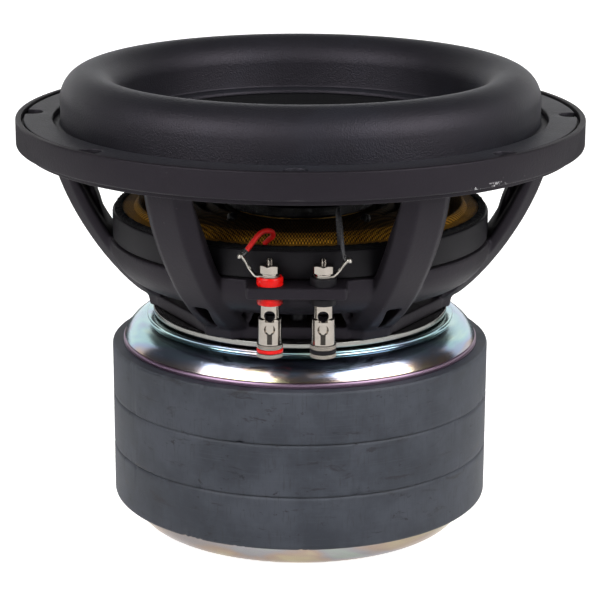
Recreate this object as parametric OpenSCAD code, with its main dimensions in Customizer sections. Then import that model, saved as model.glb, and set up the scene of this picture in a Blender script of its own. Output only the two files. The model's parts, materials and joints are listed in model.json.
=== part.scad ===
// Long-throw subwoofer driver, 12 inch class, with a three-magnet motor and push terminals.
// Frame: Z is the cone's axis and points at the listener. The origin is the centre of the bolt
// circle, in the plane of the seat that meets the baffle. The front terminals face -Y.
// Azimuth 0 is -Y and azimuth 90 is +X.

/* [Mounting flange] */
// Outer radius of the basket flange
flange_r = 162; // [158:0.5:166]
// Height of the flange's raised rim above the baffle seat
rim_top = 18.4; // [17.5:0.1:20]
// Width of the raised rim
rim_w = 3.2; // [2:0.1:4]
// Height of the landing that carries the surround's outer edge
landing_z = 12.4; // [11:0.1:13]
// Inner radius of the flange
flange_in_r = 132; // [130:0.5:134]
// Number of mounting holes
bolt_count = 8; // [6:2:8]
// Radius of the bolt circle
bolt_circle_r = 153.5; // [152.5:0.5:154]
// Radius of a mounting hole
bolt_hole_r = 3.25; // [2.5:0.05:3.25]

/* [Basket] */
// Number of arms
arm_count = 6; // [6]
// Half width of an arm's flat outer face
arm_flat_half = 8.5; // [7:0.5:9]
// Width and depth of the bevel beside the flat face
arm_bevel = 7; // [5:0.5:8]
// Radius of the arm's outer face where it leaves the flange
arm_top_r = 142.8; // [140:0.2:144]
// Radius of the arm's outer face at its foot
arm_foot_r = 88.3; // [87:0.1:90]
// Depth of an arm at its top
arm_depth_top = 13; // [13:0.5:14]
// Depth of an arm at its foot
arm_depth_foot = 15; // [14:0.5:16]
// Outer radius of the shelf that carries the spiders
shelf_r = 109.5; // [109.5:0.5:111]
// Height of that shelf
shelf_z = -52.5; // [-53:0.1:-52]
// Height of the basket's bottom face
basket_bottom_z = -94.3; // [-94.3:0.1:-94]
// Radius of the neck below the bowl
neck_r = 83.5; // [83:0.1:84.5]

/* [Motor] */
// Outer radius of a magnet
magnet_r = 109.6; // [106:0.2:110]
// Thickness of a magnet with its glue line
magnet_t = 30.4; // [28:0.2:32]
// Inner radius of a magnet
magnet_bore_r = 55; // [50:1:58]
// Radius of the pole
pole_r = 36.6; // [36:0.1:37]
// Radius of the vent through the pole
vent_r = 14; // [10:0.5:16]
// Radius of the gap in the top plate
gap_r = 43.2; // [43:0.1:44]
// Thickness of the back plate
back_plate_t = 14.7; // [12:0.1:16]

/* [Moving parts] */
// Outer radius of the surround's roll
roll_out_r = 136.7; // [136:0.1:136.7]
// Inner radius of the surround's roll
roll_in_r = 103.3; // [103.3:0.1:104]
// Height of the roll's crest
crest_z = 44.7; // [42:0.1:46]
// Thickness of the rubber
rubber_t = 1.8; // [1.4:0.1:2.2]
// Outer radius of the coil former
former_r = 38.9; // [38.9]
// Height of the voice coil winding
winding_h = 52; // [40:1:56]
// Travel of the cone each way
cone_travel = 22; // [10:1:22]

/* [Terminals] */
// Half the distance between the two posts of a pair
post_half_pitch = 14.2; // [13.5:0.1:15]
// Distance of the posts from the axis
post_y = 115.8; // [115.8:0.1:116.2]
// Thickness of the terminal tab
tab_t = 6.5; // [5:0.5:7]
// Radius of the post
post_r = 5.15; // [5.15]
// Radius of the wire hole
wire_hole_r = 3; // [2:0.1:3]
// Travel of a push sleeve
push_travel = 7.2; // [6:0.1:7.2]

/* [Hidden] */
$fn = 96;
cut = 1; // overshoot of a cutting tool past the face it cuts

// Flange
side_z = 3.2;          // lower edge of the flange's side
seat_out_r = 157;      // outer radius of the baffle seat
flange_floor_z = 14;   // top of the flange between landing and rim
surround_edge_r = 146.5;
gasket_in_r = 141;
gasket_top_z = 17.6;
gasket_gap = 1.5;      // groove between gasket and rim
notch_half_w = 6.8;    // half width of the gasket's notch at a bolt
notch_in_r = 147.5;

// Basket
arm_foot_z = -87.9;
arm_half = arm_flat_half + arm_bevel;
arm_depth_mid = 13;
arm_mid_share = 0.33;   // share of the arm's height over which it reaches that depth
arm_steps = 14;
rib_half = 4;
rib_depth = 5;         // how far the inner rib stands in from the arm at its top
rib_end_z = -50;       // where the rib has run out
rib_fade = 25;         // height over which it runs out
rib_low_z = -60;       // the rib ends here, inside the arm
rib_sink = 0.3;        // share of its depth by which it then lies inside the arm
shelf_in_r = 98;
shelf_t = 4;
bowl_bottom_z = -77;
neck_wall = 5;
neck_in_r = neck_r - neck_wall;
bowl_wall = 4.5;
floor_in_r = 50;
floor_t = 7.4;
bowl_steps = 10;
arm_step = 360 / arm_count;
window_top_half = 23.3;
window_low_half = 27.6;
foot_half = 27.9;      // half width of the opening below a window
foot_inset = 0.7;      // the floor behind it stands out this far from the neck's inside
window_top_z = -77.5;
window_low_z = floor_t + basket_bottom_z;
leg_slot_top_half = 5;  // half width of the slot between an arm's two legs
leg_slot_low_half = 1;
leg_slot_top_z = -72.5;
leg_slot_low_z = -87;

// Motor stack, from the basket down
adapter_t = 3.1;
motor_gasket_t = 1;
boss_h = 2.2;
boss_r = 89.1;
top_plate_top_z = basket_bottom_z - adapter_t - motor_gasket_t - boss_h;
top_plate_low_z = -115;
dome_r = 102.4;
dome_low_z = -111.5;
lip_r = 103.2;
magnet_chamfer = 0.8;
back_plate_top_z = top_plate_low_z - 3 * magnet_t;
back_plate_low_z = back_plate_top_z - back_plate_t;
back_plate_r = 99;
back_face_r = 90;
pole_top_z = -96.5;
vent_mouth_r = 20;
vent_mouth_h = 8;
bolt_ring_r = 62;
motor_bolt_count = 6;
motor_bolt_r = 3;
motor_bolt_head_r = 5;
motor_bolt_grip = 12;
bolt_end_z = top_plate_top_z + boss_h - motor_bolt_grip;
adapter_r = 85.5;
motor_gasket_r = 82;
shorting_h = 16;

// Cone, coil and spiders
former_in_r = 38.1;
former_top_z = -21;
former_low_z = -134.5;
winding_split_r = 40.2;
winding_r = 41.5;
winding_mid_z = (top_plate_top_z + top_plate_low_z) / 2;
cone_lip_z = 12.3;
cone_lip_in_r = 94;
cone_t = 1.6;
cone_neck_z = -28;
cap_r = 58;
cap_rise = 14;
cap_base_z = -12.8;
cap_t = 1;
spacer_r = 108.3;
spacer_in_r = 99;
spacer_top_z = -36.3;
spacer_low_z = shelf_z + 0.8;
spider_t = 0.8;
spider_wave = 3.2;     // height of a corrugation
spider_rolls = 5;
spider_neck_r = 39.2;
spider_neck_flat_r = 44;
spider_flat_r = 96;    // where the corrugations end and the glued edge starts
spider_edge_r = 107;
glue_h = 1;
glue_in_r = 102;
cap_steps = 12;
roll_steps = 24;

// Terminals
tab_half_w = 26.9;
tab_front_y = 124;
collar_r = 7.1;
collar_top_h = 4.6;
collar_low_h = 4.1;
collar_neck_r = 4.9;
stud_r = 2;
lug_t = 0.8;
lug_w = 6;
washer_t = 1.2;
nut_h = 4.4;
nut_af = 10.4;
stud_top = 3.5;        // how far the stud stands out of its nut
post_top_z = shelf_z - tab_t - collar_low_h;
post_low_z = -79.5;
wire_hole_z = -68.7;
sleeve_r = 6.4;
sleeve_in_r = 5.25;
sleeve_top_z = post_top_z - push_travel - 0.3;
sleeve_low_z = -92;
knurl_r = 7.15;
knurl_h = 7.4;
band_h = 1.9;
band_in_r = 6.2;
cap_floor = 1.7;
lug_z = shelf_z + collar_top_h;
lug_ring_r = 5.4;
band_low_z = sleeve_low_z + 2.6;
groove_r = 1.9;        // radius of the groove below the sleeve's hole
groove_out = 1.2;      // how far its middle lies outside the sleeve
groove_floor = 0.6;    // wall left between the groove and the knurled end
notch_half = 2.4;
notch_depth = 1.2;
slot_half = 0.4;
slot_depth = 1.4;
spring_r = 4.4;
spring_wire = 0.9;
red_lead_r = 1.4;
black_lead_r = 1.1;
lead_sides = 8;

// Routes of the four leads, from the lug's tip to the glued edge of the upper spider, for a pair at
// azimuth 0. From there a lead is woven into the cloth. The red one makes a low loop, the black a tall one.
red_route = [[-29.4, -115, -37], [-26.2, -113, -34.1], [-22.8, -111, -30], [-20, -109, -26.8],
    [-16.7, -106.5, -25.6], [-13.6, -104, -26.6], [-13, -101.8, -29.6], [-15.6, -99.8, -32.4],
    [-17.6, -98.7, -34.4]];
black_route = [[27, -115, -40], [24.8, -113.6, -37], [24, -111, -31], [23.3, -107.5, -24],
    [22.4, -104, -17.5], [21.8, -100.5, -14.8], [21.5, -98, -19], [21.8, -97, -26], [22.3, -96.2, -32],
    [22.5, -96, -35.2]];

// Puts its children's +X side at an azimuth
module at_azimuth(a) {
    rotate([0, 0, a - 90]) children();
}

// Moves its children from the front pair's place to the rear pair's
module at_pair(rear) {
    rotate([0, 0, rear ? 180 : 0]) children();
}

module tube(r_out, r_in, z_low, h) {
    translate([0, 0, z_low]) difference() {
        cylinder(r = r_out, h = h);
        translate([0, 0, -cut]) cylinder(r = r_in, h = h + 2 * cut);
    }
}

// Quarter of an ellipse from (r1, z_top), where it is level, to (r2, z_low), where it is upright
function quarter(r1, z_top, r2, z_low, steps = 10) =
    [for (i = [0 : steps]) let (a = 90 * i / steps)
        [r1 + (r2 - r1) * sin(a), z_low + (z_top - z_low) * cos(a)]];

// Outer face of an arm: radius and height at t = 0, the flange, to t = 1, the foot
function arm_radius(t) = arm_foot_r + (arm_top_r - arm_foot_r) * pow(1 - pow(t, 1.5), 0.8);
function arm_outer(shift = 0) =
    [for (i = [0 : arm_steps]) let (t = i / arm_steps) [arm_radius(t) + shift, arm_foot_z * t]];
function arm_depth(t) = t < arm_mid_share
    ? arm_depth_top + (arm_depth_mid - arm_depth_top) * t / arm_mid_share
    : arm_depth_mid + (arm_depth_foot - arm_depth_mid) * (t - arm_mid_share) / (1 - arm_mid_share);
function rib_share(t) = min(1, max(-rib_sink, (arm_foot_z * t - rib_end_z) / rib_fade));
function arm_inner(extra = 0) =
    [for (i = [arm_steps : -1 : 0]) let (t = i / arm_steps)
        [max(neck_in_r, arm_radius(t) - extra * rib_share(t) - arm_depth(t)), arm_foot_z * t]];

// Side view of an arm. The foot runs straight down to the basket's bottom face.
module arm_side(shift = 0, extra = 0) {
    polygon(concat(
        [[arm_top_r + shift, side_z]],
        arm_outer(shift),
        [[arm_foot_r + shift - 1.3, basket_bottom_z], [neck_in_r, basket_bottom_z]],
        [[neck_in_r, arm_foot_z]],
        arm_inner(extra),
        [[arm_top_r - arm_depth_top - extra, side_z]]
    ));
}

// A prism of the arm's side view, centred on its own plane
module arm_slab(half) {
    rotate([90, 0, 0]) translate([0, 0, -half]) linear_extrude(2 * half) arm_side();
}

// Everything inside the bevel on one side: the side view pushed out and laid along a 45 degree line
module arm_bevel_cut(side) {
    reach = 120;
    rotate([0, 0, side * 45]) rotate([90, 0, 0]) translate([0, 0, -reach])
        linear_extrude(2 * reach) polygon(concat(
            [[0, side_z], [(arm_top_r + arm_flat_half) / sqrt(2), side_z]],
            [for (p = arm_outer(arm_flat_half)) [p[0] / sqrt(2), p[1]]],
            [[(arm_foot_r + arm_flat_half) / sqrt(2), basket_bottom_z], [0, basket_bottom_z]]
        ));
}

module arm() {
    difference() {
        union() {
            intersection() {
                arm_slab(arm_half);
                arm_bevel_cut(1);
                arm_bevel_cut(-1);
            }
            rotate([90, 0, 0]) translate([0, 0, -rib_half]) linear_extrude(2 * rib_half)
                difference() {
                    arm_side(-arm_bevel, rib_depth);
                    translate([0, basket_bottom_z - cut])
                        square([arm_top_r, rib_low_z - basket_bottom_z + cut]);
                }
        }
        leg_slot();
    }
}

// The three-sided slot that parts the foot of an arm into two legs
module leg_slot() {
    rotate([90, 0, 90]) linear_extrude(arm_top_r) polygon([
        [-leg_slot_top_half, leg_slot_top_z], [leg_slot_top_half, leg_slot_top_z],
        [leg_slot_low_half, leg_slot_low_z], [-leg_slot_low_half, leg_slot_low_z]
    ]);
}

module flange() {
    rotate_extrude() polygon([
        [flange_in_r, 0], [seat_out_r, 0], [seat_out_r, side_z], [flange_r, side_z],
        [flange_r, rim_top], [flange_r - rim_w, rim_top], [flange_r - rim_w, flange_floor_z],
        [surround_edge_r, flange_floor_z], [surround_edge_r, landing_z], [flange_in_r, landing_z]
    ]);
}

// Quarter ellipse of the bowl, upright at the shelf and level at the neck
function bowl_curve(r_top, z_top, r_low, z_low) =
    [for (i = [0 : bowl_steps]) let (a = 90 * i / bowl_steps)
        [r_low + (r_top - r_low) * cos(a), z_top - (z_top - z_low) * sin(a)]];
function reversed(list) = [for (i = [len(list) - 1 : -1 : 0]) list[i]];

// The bowl under the spider shelf, the neck below it and the floor that meets the motor
module bowl() {
    shelf_low_z = shelf_z - shelf_t;
    rotate_extrude() polygon(concat(
        [[shelf_in_r, shelf_z], [shelf_r, shelf_z]],
        bowl_curve(shelf_r, shelf_low_z, neck_r, bowl_bottom_z),
        [[neck_r, basket_bottom_z], [floor_in_r, basket_bottom_z],
         [floor_in_r, window_low_z], [neck_in_r, window_low_z]],
        reversed(bowl_curve(shelf_r - bowl_wall, shelf_low_z, neck_in_r, bowl_bottom_z + bowl_wall)),
        [[shelf_in_r, shelf_low_z]]
    ));
}

// Window through the neck between two arms. The neck's wall is open down to the bottom face there,
// and the floor stands behind it.
module neck_window() {
    rotate([90, 0, 90]) translate([0, 0, neck_in_r - neck_wall]) linear_extrude(4 * neck_wall)
        polygon([[-window_top_half, window_top_z], [window_top_half, window_top_z],
                 [window_low_half, window_low_z], [-window_low_half, window_low_z]]);
    rotate([90, 0, 90]) translate([0, 0, neck_in_r + foot_inset]) linear_extrude(4 * neck_wall)
        translate([-foot_half, basket_bottom_z - cut]) square([2 * foot_half, floor_t + 1.5 * cut]);
}

// Tab that carries one pair of terminals
module terminal_tab() {
    translate([-tab_half_w, -tab_front_y, shelf_z - tab_t])
        cube([2 * tab_half_w, tab_front_y - shelf_r + bowl_wall, tab_t]);
}

module basket() {
    color("#3c393e") difference() {
        union() {
            flange();
            bowl();
            for (i = [0 : arm_count - 1]) at_azimuth(arm_step / 2 + arm_step * i) arm();
            for (rear = [false, true]) at_pair(rear) terminal_tab();
        }
        for (i = [0 : arm_count - 1]) at_azimuth(arm_step * i) neck_window();
        for (i = [0 : bolt_count - 1]) at_azimuth(360 / bolt_count * i)
            translate([bolt_circle_r, 0, -cut]) cylinder(r = bolt_hole_r, h = rim_top + 2 * cut);
        for (i = [0 : motor_bolt_count - 1]) at_azimuth(360 / motor_bolt_count * i)
            translate([bolt_ring_r, 0, basket_bottom_z - cut])
                cylinder(r = motor_bolt_r, h = floor_t + 2 * cut);
        for (rear = [false, true], side = [-1, 1]) at_pair(rear)
            translate([side * post_half_pitch, -post_y, shelf_z - tab_t - cut])
                cylinder(r = collar_neck_r, h = tab_t + 2 * cut);
    }
}

module flange_gasket() {
    color("#26262a") difference() {
        tube(flange_r - rim_w - gasket_gap, gasket_in_r, flange_floor_z, gasket_top_z - flange_floor_z);
        for (i = [0 : bolt_count - 1]) at_azimuth(360 / bolt_count * i)
            translate([notch_in_r + notch_half_w, 0, flange_floor_z - cut]) {
                cylinder(r = notch_half_w, h = rim_top);
                translate([0, -notch_half_w, 0]) cube([4 * notch_half_w, 2 * notch_half_w, rim_top]);
            }
    }
}

module spider_spacer() {
    color("#2b2a30") tube(spacer_r, spacer_in_r, spacer_low_z, spacer_top_z - spacer_low_z);
}

// Height of a spider's middle line above its glued edge, at a radius
function spider_rise(r) = r > spider_flat_r ? 0 :
    spider_wave * sin(360 * spider_rolls * (spider_flat_r - r) / (spider_flat_r - spider_neck_flat_r))
        * (r < spider_neck_flat_r ? 0 : 1);

module spider(z) {
    steps = 8 * spider_rolls;
    line = concat([[spider_neck_r, 0]],
        [for (i = [steps : -1 : 0])
            let (r = spider_flat_r - (spider_flat_r - spider_neck_flat_r) * i / steps) [r, spider_rise(r)]],
        [[spider_edge_r, 0]]);
    color("#b08a26") translate([0, 0, z]) rotate_extrude()
        polygon(concat(line, [for (p = reversed(line)) [p[0], p[1] + spider_t]]));
}
module spider_upper() { spider(spacer_top_z); }
module spider_lower() { spider(shelf_z); }

module spider_glue() {
    color("#121214") rotate_extrude() polygon([
        [glue_in_r, spacer_top_z + spider_t], [spider_edge_r, spacer_top_z + spider_t],
        [spider_edge_r - 1.2, spacer_top_z + spider_t + glue_h],
        [glue_in_r + 1.2, spacer_top_z + spider_t + glue_h]
    ]);
}

// Half-roll surround with its two glued edges
module surround() {
    mid_r = (roll_out_r + roll_in_r) / 2;
    half = (roll_out_r - roll_in_r) / 2;
    mid_z = crest_z - half;
    arc = [for (i = [0 : roll_steps]) 180 * i / roll_steps];
    color("#222226") rotate_extrude() polygon(concat(
        [[surround_edge_r, landing_z], [surround_edge_r, landing_z + rubber_t - 0.2],
         [roll_out_r, landing_z + rubber_t - 0.2]],
        [for (a = arc) [mid_r + half * cos(a), mid_z + half * sin(a)]],
        [[roll_in_r, cone_lip_z + rubber_t], [cone_lip_in_r, cone_lip_z + rubber_t],
         [cone_lip_in_r, cone_lip_z], [roll_in_r + rubber_t, cone_lip_z]],
        [for (a = reversed(arc))
            [mid_r + (half - rubber_t) * cos(a), mid_z + (half - rubber_t) * sin(a)]],
        [[roll_out_r - rubber_t, landing_z]]
    ));
}

module cone() {
    color("#1c1c1f") rotate_extrude() polygon([
        [roll_in_r, cone_lip_z], [cone_lip_in_r, cone_lip_z], [cone_lip_in_r - 2, cone_lip_z - 1.8],
        [former_r, cone_neck_z], [former_r, cone_neck_z - 2.2],
        [cone_lip_in_r - 1, cone_lip_z - 3.8], [cone_lip_in_r + 1, cone_lip_z - cone_t],
        [roll_in_r, cone_lip_z - cone_t]
    ]);
}

module dust_cap() {
    dome = [for (i = [0 : cap_steps]) let (k = i / cap_steps)
        [cap_r * k, cap_base_z + cap_rise * (1 - k * k)]];
    color("#17171a") rotate_extrude()
        polygon(concat(dome, [for (p = reversed(dome)) [p[0], p[1] - cap_t]]));
}

module cone_neck_glue() {
    color("#0e0e10") rotate_extrude() polygon([
        [former_r, cone_neck_z - 6.2], [former_r + 5, cone_neck_z + 1.2], [former_r, cone_neck_z - 2.2]
    ]);
}

module coil_former() {
    color("#8a6a3a") tube(former_r, former_in_r, former_low_z, former_top_z - former_low_z);
}
module winding(r_out, r_in) {
    color("#b5652f") tube(r_out, r_in, winding_mid_z - winding_h / 2, winding_h);
}
module winding_inner() { winding(winding_split_r, former_r); }
module winding_outer() { winding(winding_r, winding_split_r); }

module back_plate_and_pole() {
    color("#b9b39c") difference() {
        rotate_extrude() polygon(concat(
            [[0, pole_top_z], [pole_r, pole_top_z], [pole_r, back_plate_top_z]],
            [[back_plate_r, back_plate_top_z]],
            bowl_curve(back_plate_r, back_plate_top_z - 3, back_face_r, back_plate_low_z),
            [[0, back_plate_low_z]]
        ));
        translate([0, 0, back_plate_low_z - cut])
            cylinder(r = vent_r, h = pole_top_z - back_plate_low_z + 2 * cut);
        translate([0, 0, back_plate_low_z]) cylinder(r1 = vent_mouth_r, r2 = vent_r, h = vent_mouth_h);
    }
}

// Magnets are counted from the back plate, 0 to 2
module magnet(place) {
    low = back_plate_top_z + place * magnet_t;
    top = low + magnet_t;
    c = magnet_chamfer;
    color("#55585f") rotate_extrude() polygon([
        [magnet_bore_r, low], [magnet_r - c, low], [magnet_r, low + c],
        [magnet_r, top - c], [magnet_r - c, top], [magnet_bore_r, top]
    ]);
}
module magnet_lower() { magnet(0); }
module magnet_middle() { magnet(1); }
module magnet_upper() { magnet(2); }

module top_plate() {
    color("#a9b3ad") difference() {
        rotate_extrude() polygon(concat(
            [[gap_r, top_plate_low_z], [lip_r, top_plate_low_z], [lip_r, dome_low_z]],
            reversed(quarter(boss_r, top_plate_top_z, dome_r, dome_low_z)),
            [[boss_r, top_plate_top_z + boss_h], [gap_r, top_plate_top_z + boss_h]]
        ));
        for (i = [0 : motor_bolt_count - 1]) at_azimuth(360 / motor_bolt_count * i)
            translate([bolt_ring_r, 0, bolt_end_z]) cylinder(r = motor_bolt_r, h = motor_bolt_grip);
    }
}

module shorting_ring() {
    color("#c9cccf") tube(magnet_bore_r - 3, pole_r, back_plate_top_z, shorting_h);
}

module vent_screen() {
    color("#222222") translate([0, 0, back_plate_low_z + vent_mouth_h]) cylinder(r = vent_r, h = 1);
}

// A flat ring of the motor's clamp, with the bolts' holes
module clamp_ring(r_out, z_low, h) {
    difference() {
        tube(r_out, floor_in_r, z_low, h);
        for (i = [0 : motor_bolt_count - 1]) at_azimuth(360 / motor_bolt_count * i)
            translate([bolt_ring_r, 0, z_low - cut]) cylinder(r = motor_bolt_r, h = h + 2 * cut);
    }
}
module adapter_ring() {
    color("#d8d8d2") clamp_ring(adapter_r, basket_bottom_z - adapter_t, adapter_t);
}
module motor_gasket() {
    color("#111111") clamp_ring(motor_gasket_r, basket_bottom_z - adapter_t - motor_gasket_t, motor_gasket_t);
}

module motor_bolts() {
    color("#1d1d20") for (i = [0 : motor_bolt_count - 1]) at_azimuth(360 / motor_bolt_count * i)
        translate([bolt_ring_r, 0, 0]) difference() {
            union() {
                translate([0, 0, bolt_end_z]) cylinder(r = motor_bolt_r, h = window_low_z - bolt_end_z);
                translate([0, 0, window_low_z]) cylinder(r = motor_bolt_head_r, h = 2 * motor_bolt_r);
            }
            translate([0, 0, window_low_z + motor_bolt_r]) cylinder(r = 2.9, h = 2 * motor_bolt_r, $fn = 6);
        }
}

// Terminals. Side is -1 for the red one, at -X on the front pair, and 1 for the black one.
module at_post(rear, side) {
    at_pair(rear) translate([side * post_half_pitch, -post_y, 0]) children();
}

module post(rear, side) {
    stud_end_z = lug_z + lug_t + washer_t + nut_h + stud_top;
    color("#c9c5bb") at_post(rear, side) difference() {
        union() {
            translate([0, 0, post_low_z]) cylinder(r = post_r, h = post_top_z - post_low_z);
            translate([0, 0, post_top_z]) cylinder(r = stud_r, h = stud_end_z - post_top_z);
        }
        translate([0, 0, wire_hole_z]) rotate([90, 0, 0])
            translate([0, 0, -post_r - cut]) cylinder(r = wire_hole_r, h = 2 * (post_r + cut));
        translate([-slot_half, -stud_r - cut, stud_end_z - slot_depth])
            cube([2 * slot_half, 2 * (stud_r + cut), slot_depth + cut]);
    }
}

// Push sleeve: a cup with a cross hole, a shallow groove below it and a knurled end with a band
module sleeve(rear, side) {
    knurl_top_z = sleeve_low_z + knurl_h;
    hole_z = wire_hole_z - push_travel;
    floor_z = sleeve_low_z + cap_floor;
    color("#cfcbc2") at_post(rear, side) difference() {
        rotate_extrude() polygon([
            [0, sleeve_low_z], [knurl_r, sleeve_low_z], [knurl_r, band_low_z], [band_in_r, band_low_z],
            [band_in_r, band_low_z + band_h], [knurl_r, band_low_z + band_h], [knurl_r, knurl_top_z],
            [sleeve_r, knurl_top_z], [sleeve_r, sleeve_top_z], [sleeve_in_r, sleeve_top_z],
            [sleeve_in_r, floor_z], [0, floor_z]
        ]);
        translate([0, 0, hole_z]) rotate([90, 0, 0])
            translate([0, 0, -knurl_r - cut]) cylinder(r = wire_hole_r, h = 2 * (knurl_r + cut));
        for (face = [-1, 1]) translate([0, face * (sleeve_r + groove_out), knurl_top_z + groove_floor])
            cylinder(r = groove_r, h = hole_z - knurl_top_z - groove_floor);
        translate([-notch_half, -knurl_r - cut, sleeve_top_z - notch_depth])
            cube([2 * notch_half, 2 * (knurl_r + cut), notch_depth + cut]);
    }
}

module band(rear, side) {
    color(side < 0 ? "#d2201c" : "#151515") at_post(rear, side) tube(knurl_r, band_in_r, band_low_z, band_h);
}

module collar_top(rear, side) {
    color(side < 0 ? "#d2201c" : "#151515") at_post(rear, side) tube(collar_r, stud_r, shelf_z, collar_top_h);
}

module collar_low(rear, side) {
    color(side < 0 ? "#d2201c" : "#151515") at_post(rear, side) difference() {
        union() {
            translate([0, 0, post_top_z]) cylinder(r1 = collar_r - 0.4, r2 = collar_r, h = collar_low_h);
            translate([0, 0, post_top_z]) cylinder(r = collar_neck_r, h = collar_low_h + tab_t);
        }
        translate([0, 0, post_top_z - cut]) cylinder(r = stud_r, h = collar_low_h + tab_t + 2 * cut);
    }
}

// Solder lug: a flat ring under the nut with a strip that bends up and outwards
module lug(rear, side) {
    flat = side < 0 ? 8.1 : 5.6;
    run = side < 0 ? 8.3 : 8.8;
    rise = side < 0 ? 11.3 : 9;
    color("#c4c1b8") at_post(rear, side) scale([side, 1, 1]) difference() {
        union() {
            translate([0, 0, lug_z]) cylinder(r = lug_ring_r, h = lug_t);
            rotate([90, 0, 0]) translate([0, 0, -lug_w / 2]) linear_extrude(lug_w) polygon([
                [0, lug_z], [flat, lug_z], [flat + run, lug_z + rise],
                [flat + run - lug_t, lug_z + rise + lug_t / 2], [flat - lug_t / 2, lug_z + lug_t],
                [0, lug_z + lug_t]
            ]);
        }
        translate([0, 0, lug_z - cut]) cylinder(r = stud_r, h = lug_t + 2 * cut);
    }
}

// Spring between the post's end and the sleeve's closed end
module spring(rear, side) {
    low = sleeve_low_z + cap_floor + 0.1;
    color("#9a9a9a") at_post(rear, side) tube(spring_r, spring_r - spring_wire, low, post_low_z - low);
}

module terminal_washers() {
    color("#c4c1b8") for (rear = [false, true], side = [-1, 1]) at_post(rear, side)
        tube(lug_ring_r - 0.5, stud_r, lug_z + lug_t, washer_t);
}

module terminal_nuts() {
    color("#d0ccc2") for (rear = [false, true], side = [-1, 1]) at_post(rear, side)
        translate([0, 0, lug_z + lug_t + washer_t]) difference() {
            rotate([0, 0, 30]) cylinder(r = nut_af / sqrt(3), h = nut_h, $fn = 6);
            translate([0, 0, -cut]) cylinder(r = stud_r, h = nut_h + 2 * cut);
        }
}

// A round tube swept along a route: one ring at each point and one halfway between
function smooth(p, i, t) =
    let (n = len(p) - 1, a = p[max(i - 1, 0)], b = p[i], c = p[i + 1], d = p[min(i + 2, n)])
    0.5 * (2 * b + (c - a) * t + (2 * a - 5 * b + 4 * c - d) * t * t + (3 * b - 3 * c + d - a) * t * t * t);
function dense(p) = concat([for (i = [0 : len(p) - 2], t = [0, 0.5]) smooth(p, i, t)], [p[len(p) - 1]]);
function unit(v) = v / norm(v);

module swept(route, r) {
    p = dense(route);
    n = len(p);
    k = lead_sides;
    rings = [for (i = [0 : n - 1])
        let (along = unit(p[min(i + 1, n - 1)] - p[max(i - 1, 0)]),
             across = unit(cross(along, [1, 0, -0.3])), up = cross(across, along))
        for (j = [0 : k - 1]) p[i] + r * (cos(360 * j / k) * across + sin(360 * j / k) * up)];
    sides = [for (i = [0 : n - 2], j = [0 : k - 1])
        [i * k + j, i * k + (j + 1) % k, (i + 1) * k + (j + 1) % k, (i + 1) * k + j]];
    caps = [[for (j = [k - 1 : -1 : 0]) j], [for (j = [0 : k - 1]) (n - 1) * k + j]];
    polyhedron(points = rings, faces = concat(sides, caps), convexity = 8);
}

module lead(rear, side) {
    color(side < 0 ? "#c22a26" : "#202024") at_pair(rear)
        swept(side < 0 ? red_route : black_route, side < 0 ? red_lead_r : black_lead_r);
}

module post_front_red() { post(false, -1); }
module sleeve_front_red() { sleeve(false, -1); }
module band_front_red() { band(false, -1); }
module spring_front_red() { spring(false, -1); }
module collar_top_front_red() { collar_top(false, -1); }
module collar_low_front_red() { collar_low(false, -1); }
module lug_front_red() { lug(false, -1); }
module lead_front_red() { lead(false, -1); }
module post_front_black() { post(false, 1); }
module sleeve_front_black() { sleeve(false, 1); }
module band_front_black() { band(false, 1); }
module spring_front_black() { spring(false, 1); }
module collar_top_front_black() { collar_top(false, 1); }
module collar_low_front_black() { collar_low(false, 1); }
module lug_front_black() { lug(false, 1); }
module lead_front_black() { lead(false, 1); }
module post_rear_red() { post(true, -1); }
module sleeve_rear_red() { sleeve(true, -1); }
module band_rear_red() { band(true, -1); }
module spring_rear_red() { spring(true, -1); }
module collar_top_rear_red() { collar_top(true, -1); }
module collar_low_rear_red() { collar_low(true, -1); }
module lug_rear_red() { lug(true, -1); }
module lead_rear_red() { lead(true, -1); }
module post_rear_black() { post(true, 1); }
module sleeve_rear_black() { sleeve(true, 1); }
module band_rear_black() { band(true, 1); }
module spring_rear_black() { spring(true, 1); }
module collar_top_rear_black() { collar_top(true, 1); }
module collar_low_rear_black() { collar_low(true, 1); }
module lug_rear_black() { lug(true, 1); }
module lead_rear_black() { lead(true, 1); }

basket();
flange_gasket();
spider_spacer();
spider_upper();
spider_lower();
spider_glue();
surround();
cone();
dust_cap();
cone_neck_glue();
coil_former();
winding_inner();
winding_outer();
back_plate_and_pole();
magnet_lower();
magnet_middle();
magnet_upper();
top_plate();
shorting_ring();
vent_screen();
motor_gasket();
adapter_ring();
motor_bolts();
terminal_nuts();
terminal_washers();
post_front_red();
sleeve_front_red();
band_front_red();
spring_front_red();
collar_top_front_red();
collar_low_front_red();
lug_front_red();
lead_front_red();
post_front_black();
sleeve_front_black();
band_front_black();
spring_front_black();
collar_top_front_black();
collar_low_front_black();
lug_front_black();
lead_front_black();
post_rear_red();
sleeve_rear_red();
band_rear_red();
spring_rear_red();
collar_top_rear_red();
collar_low_rear_red();
lug_rear_red();
lead_rear_red();
post_rear_black();
sleeve_rear_black();
band_rear_black();
spring_rear_black();
collar_top_rear_black();
collar_low_rear_black();
lug_rear_black();
lead_rear_black();
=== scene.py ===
"""Looks of a long-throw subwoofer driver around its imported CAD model.

The frame is in metres with Z along the cone's axis. Sizes here are in millimetres until a mesh is
made. Azimuth 0 is -Y, where the front terminals are, and azimuth 90 is +X.
"""

import json
import math

import bmesh
import bpy
import numpy as np
from mathutils import Matrix, Vector, noise


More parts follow.
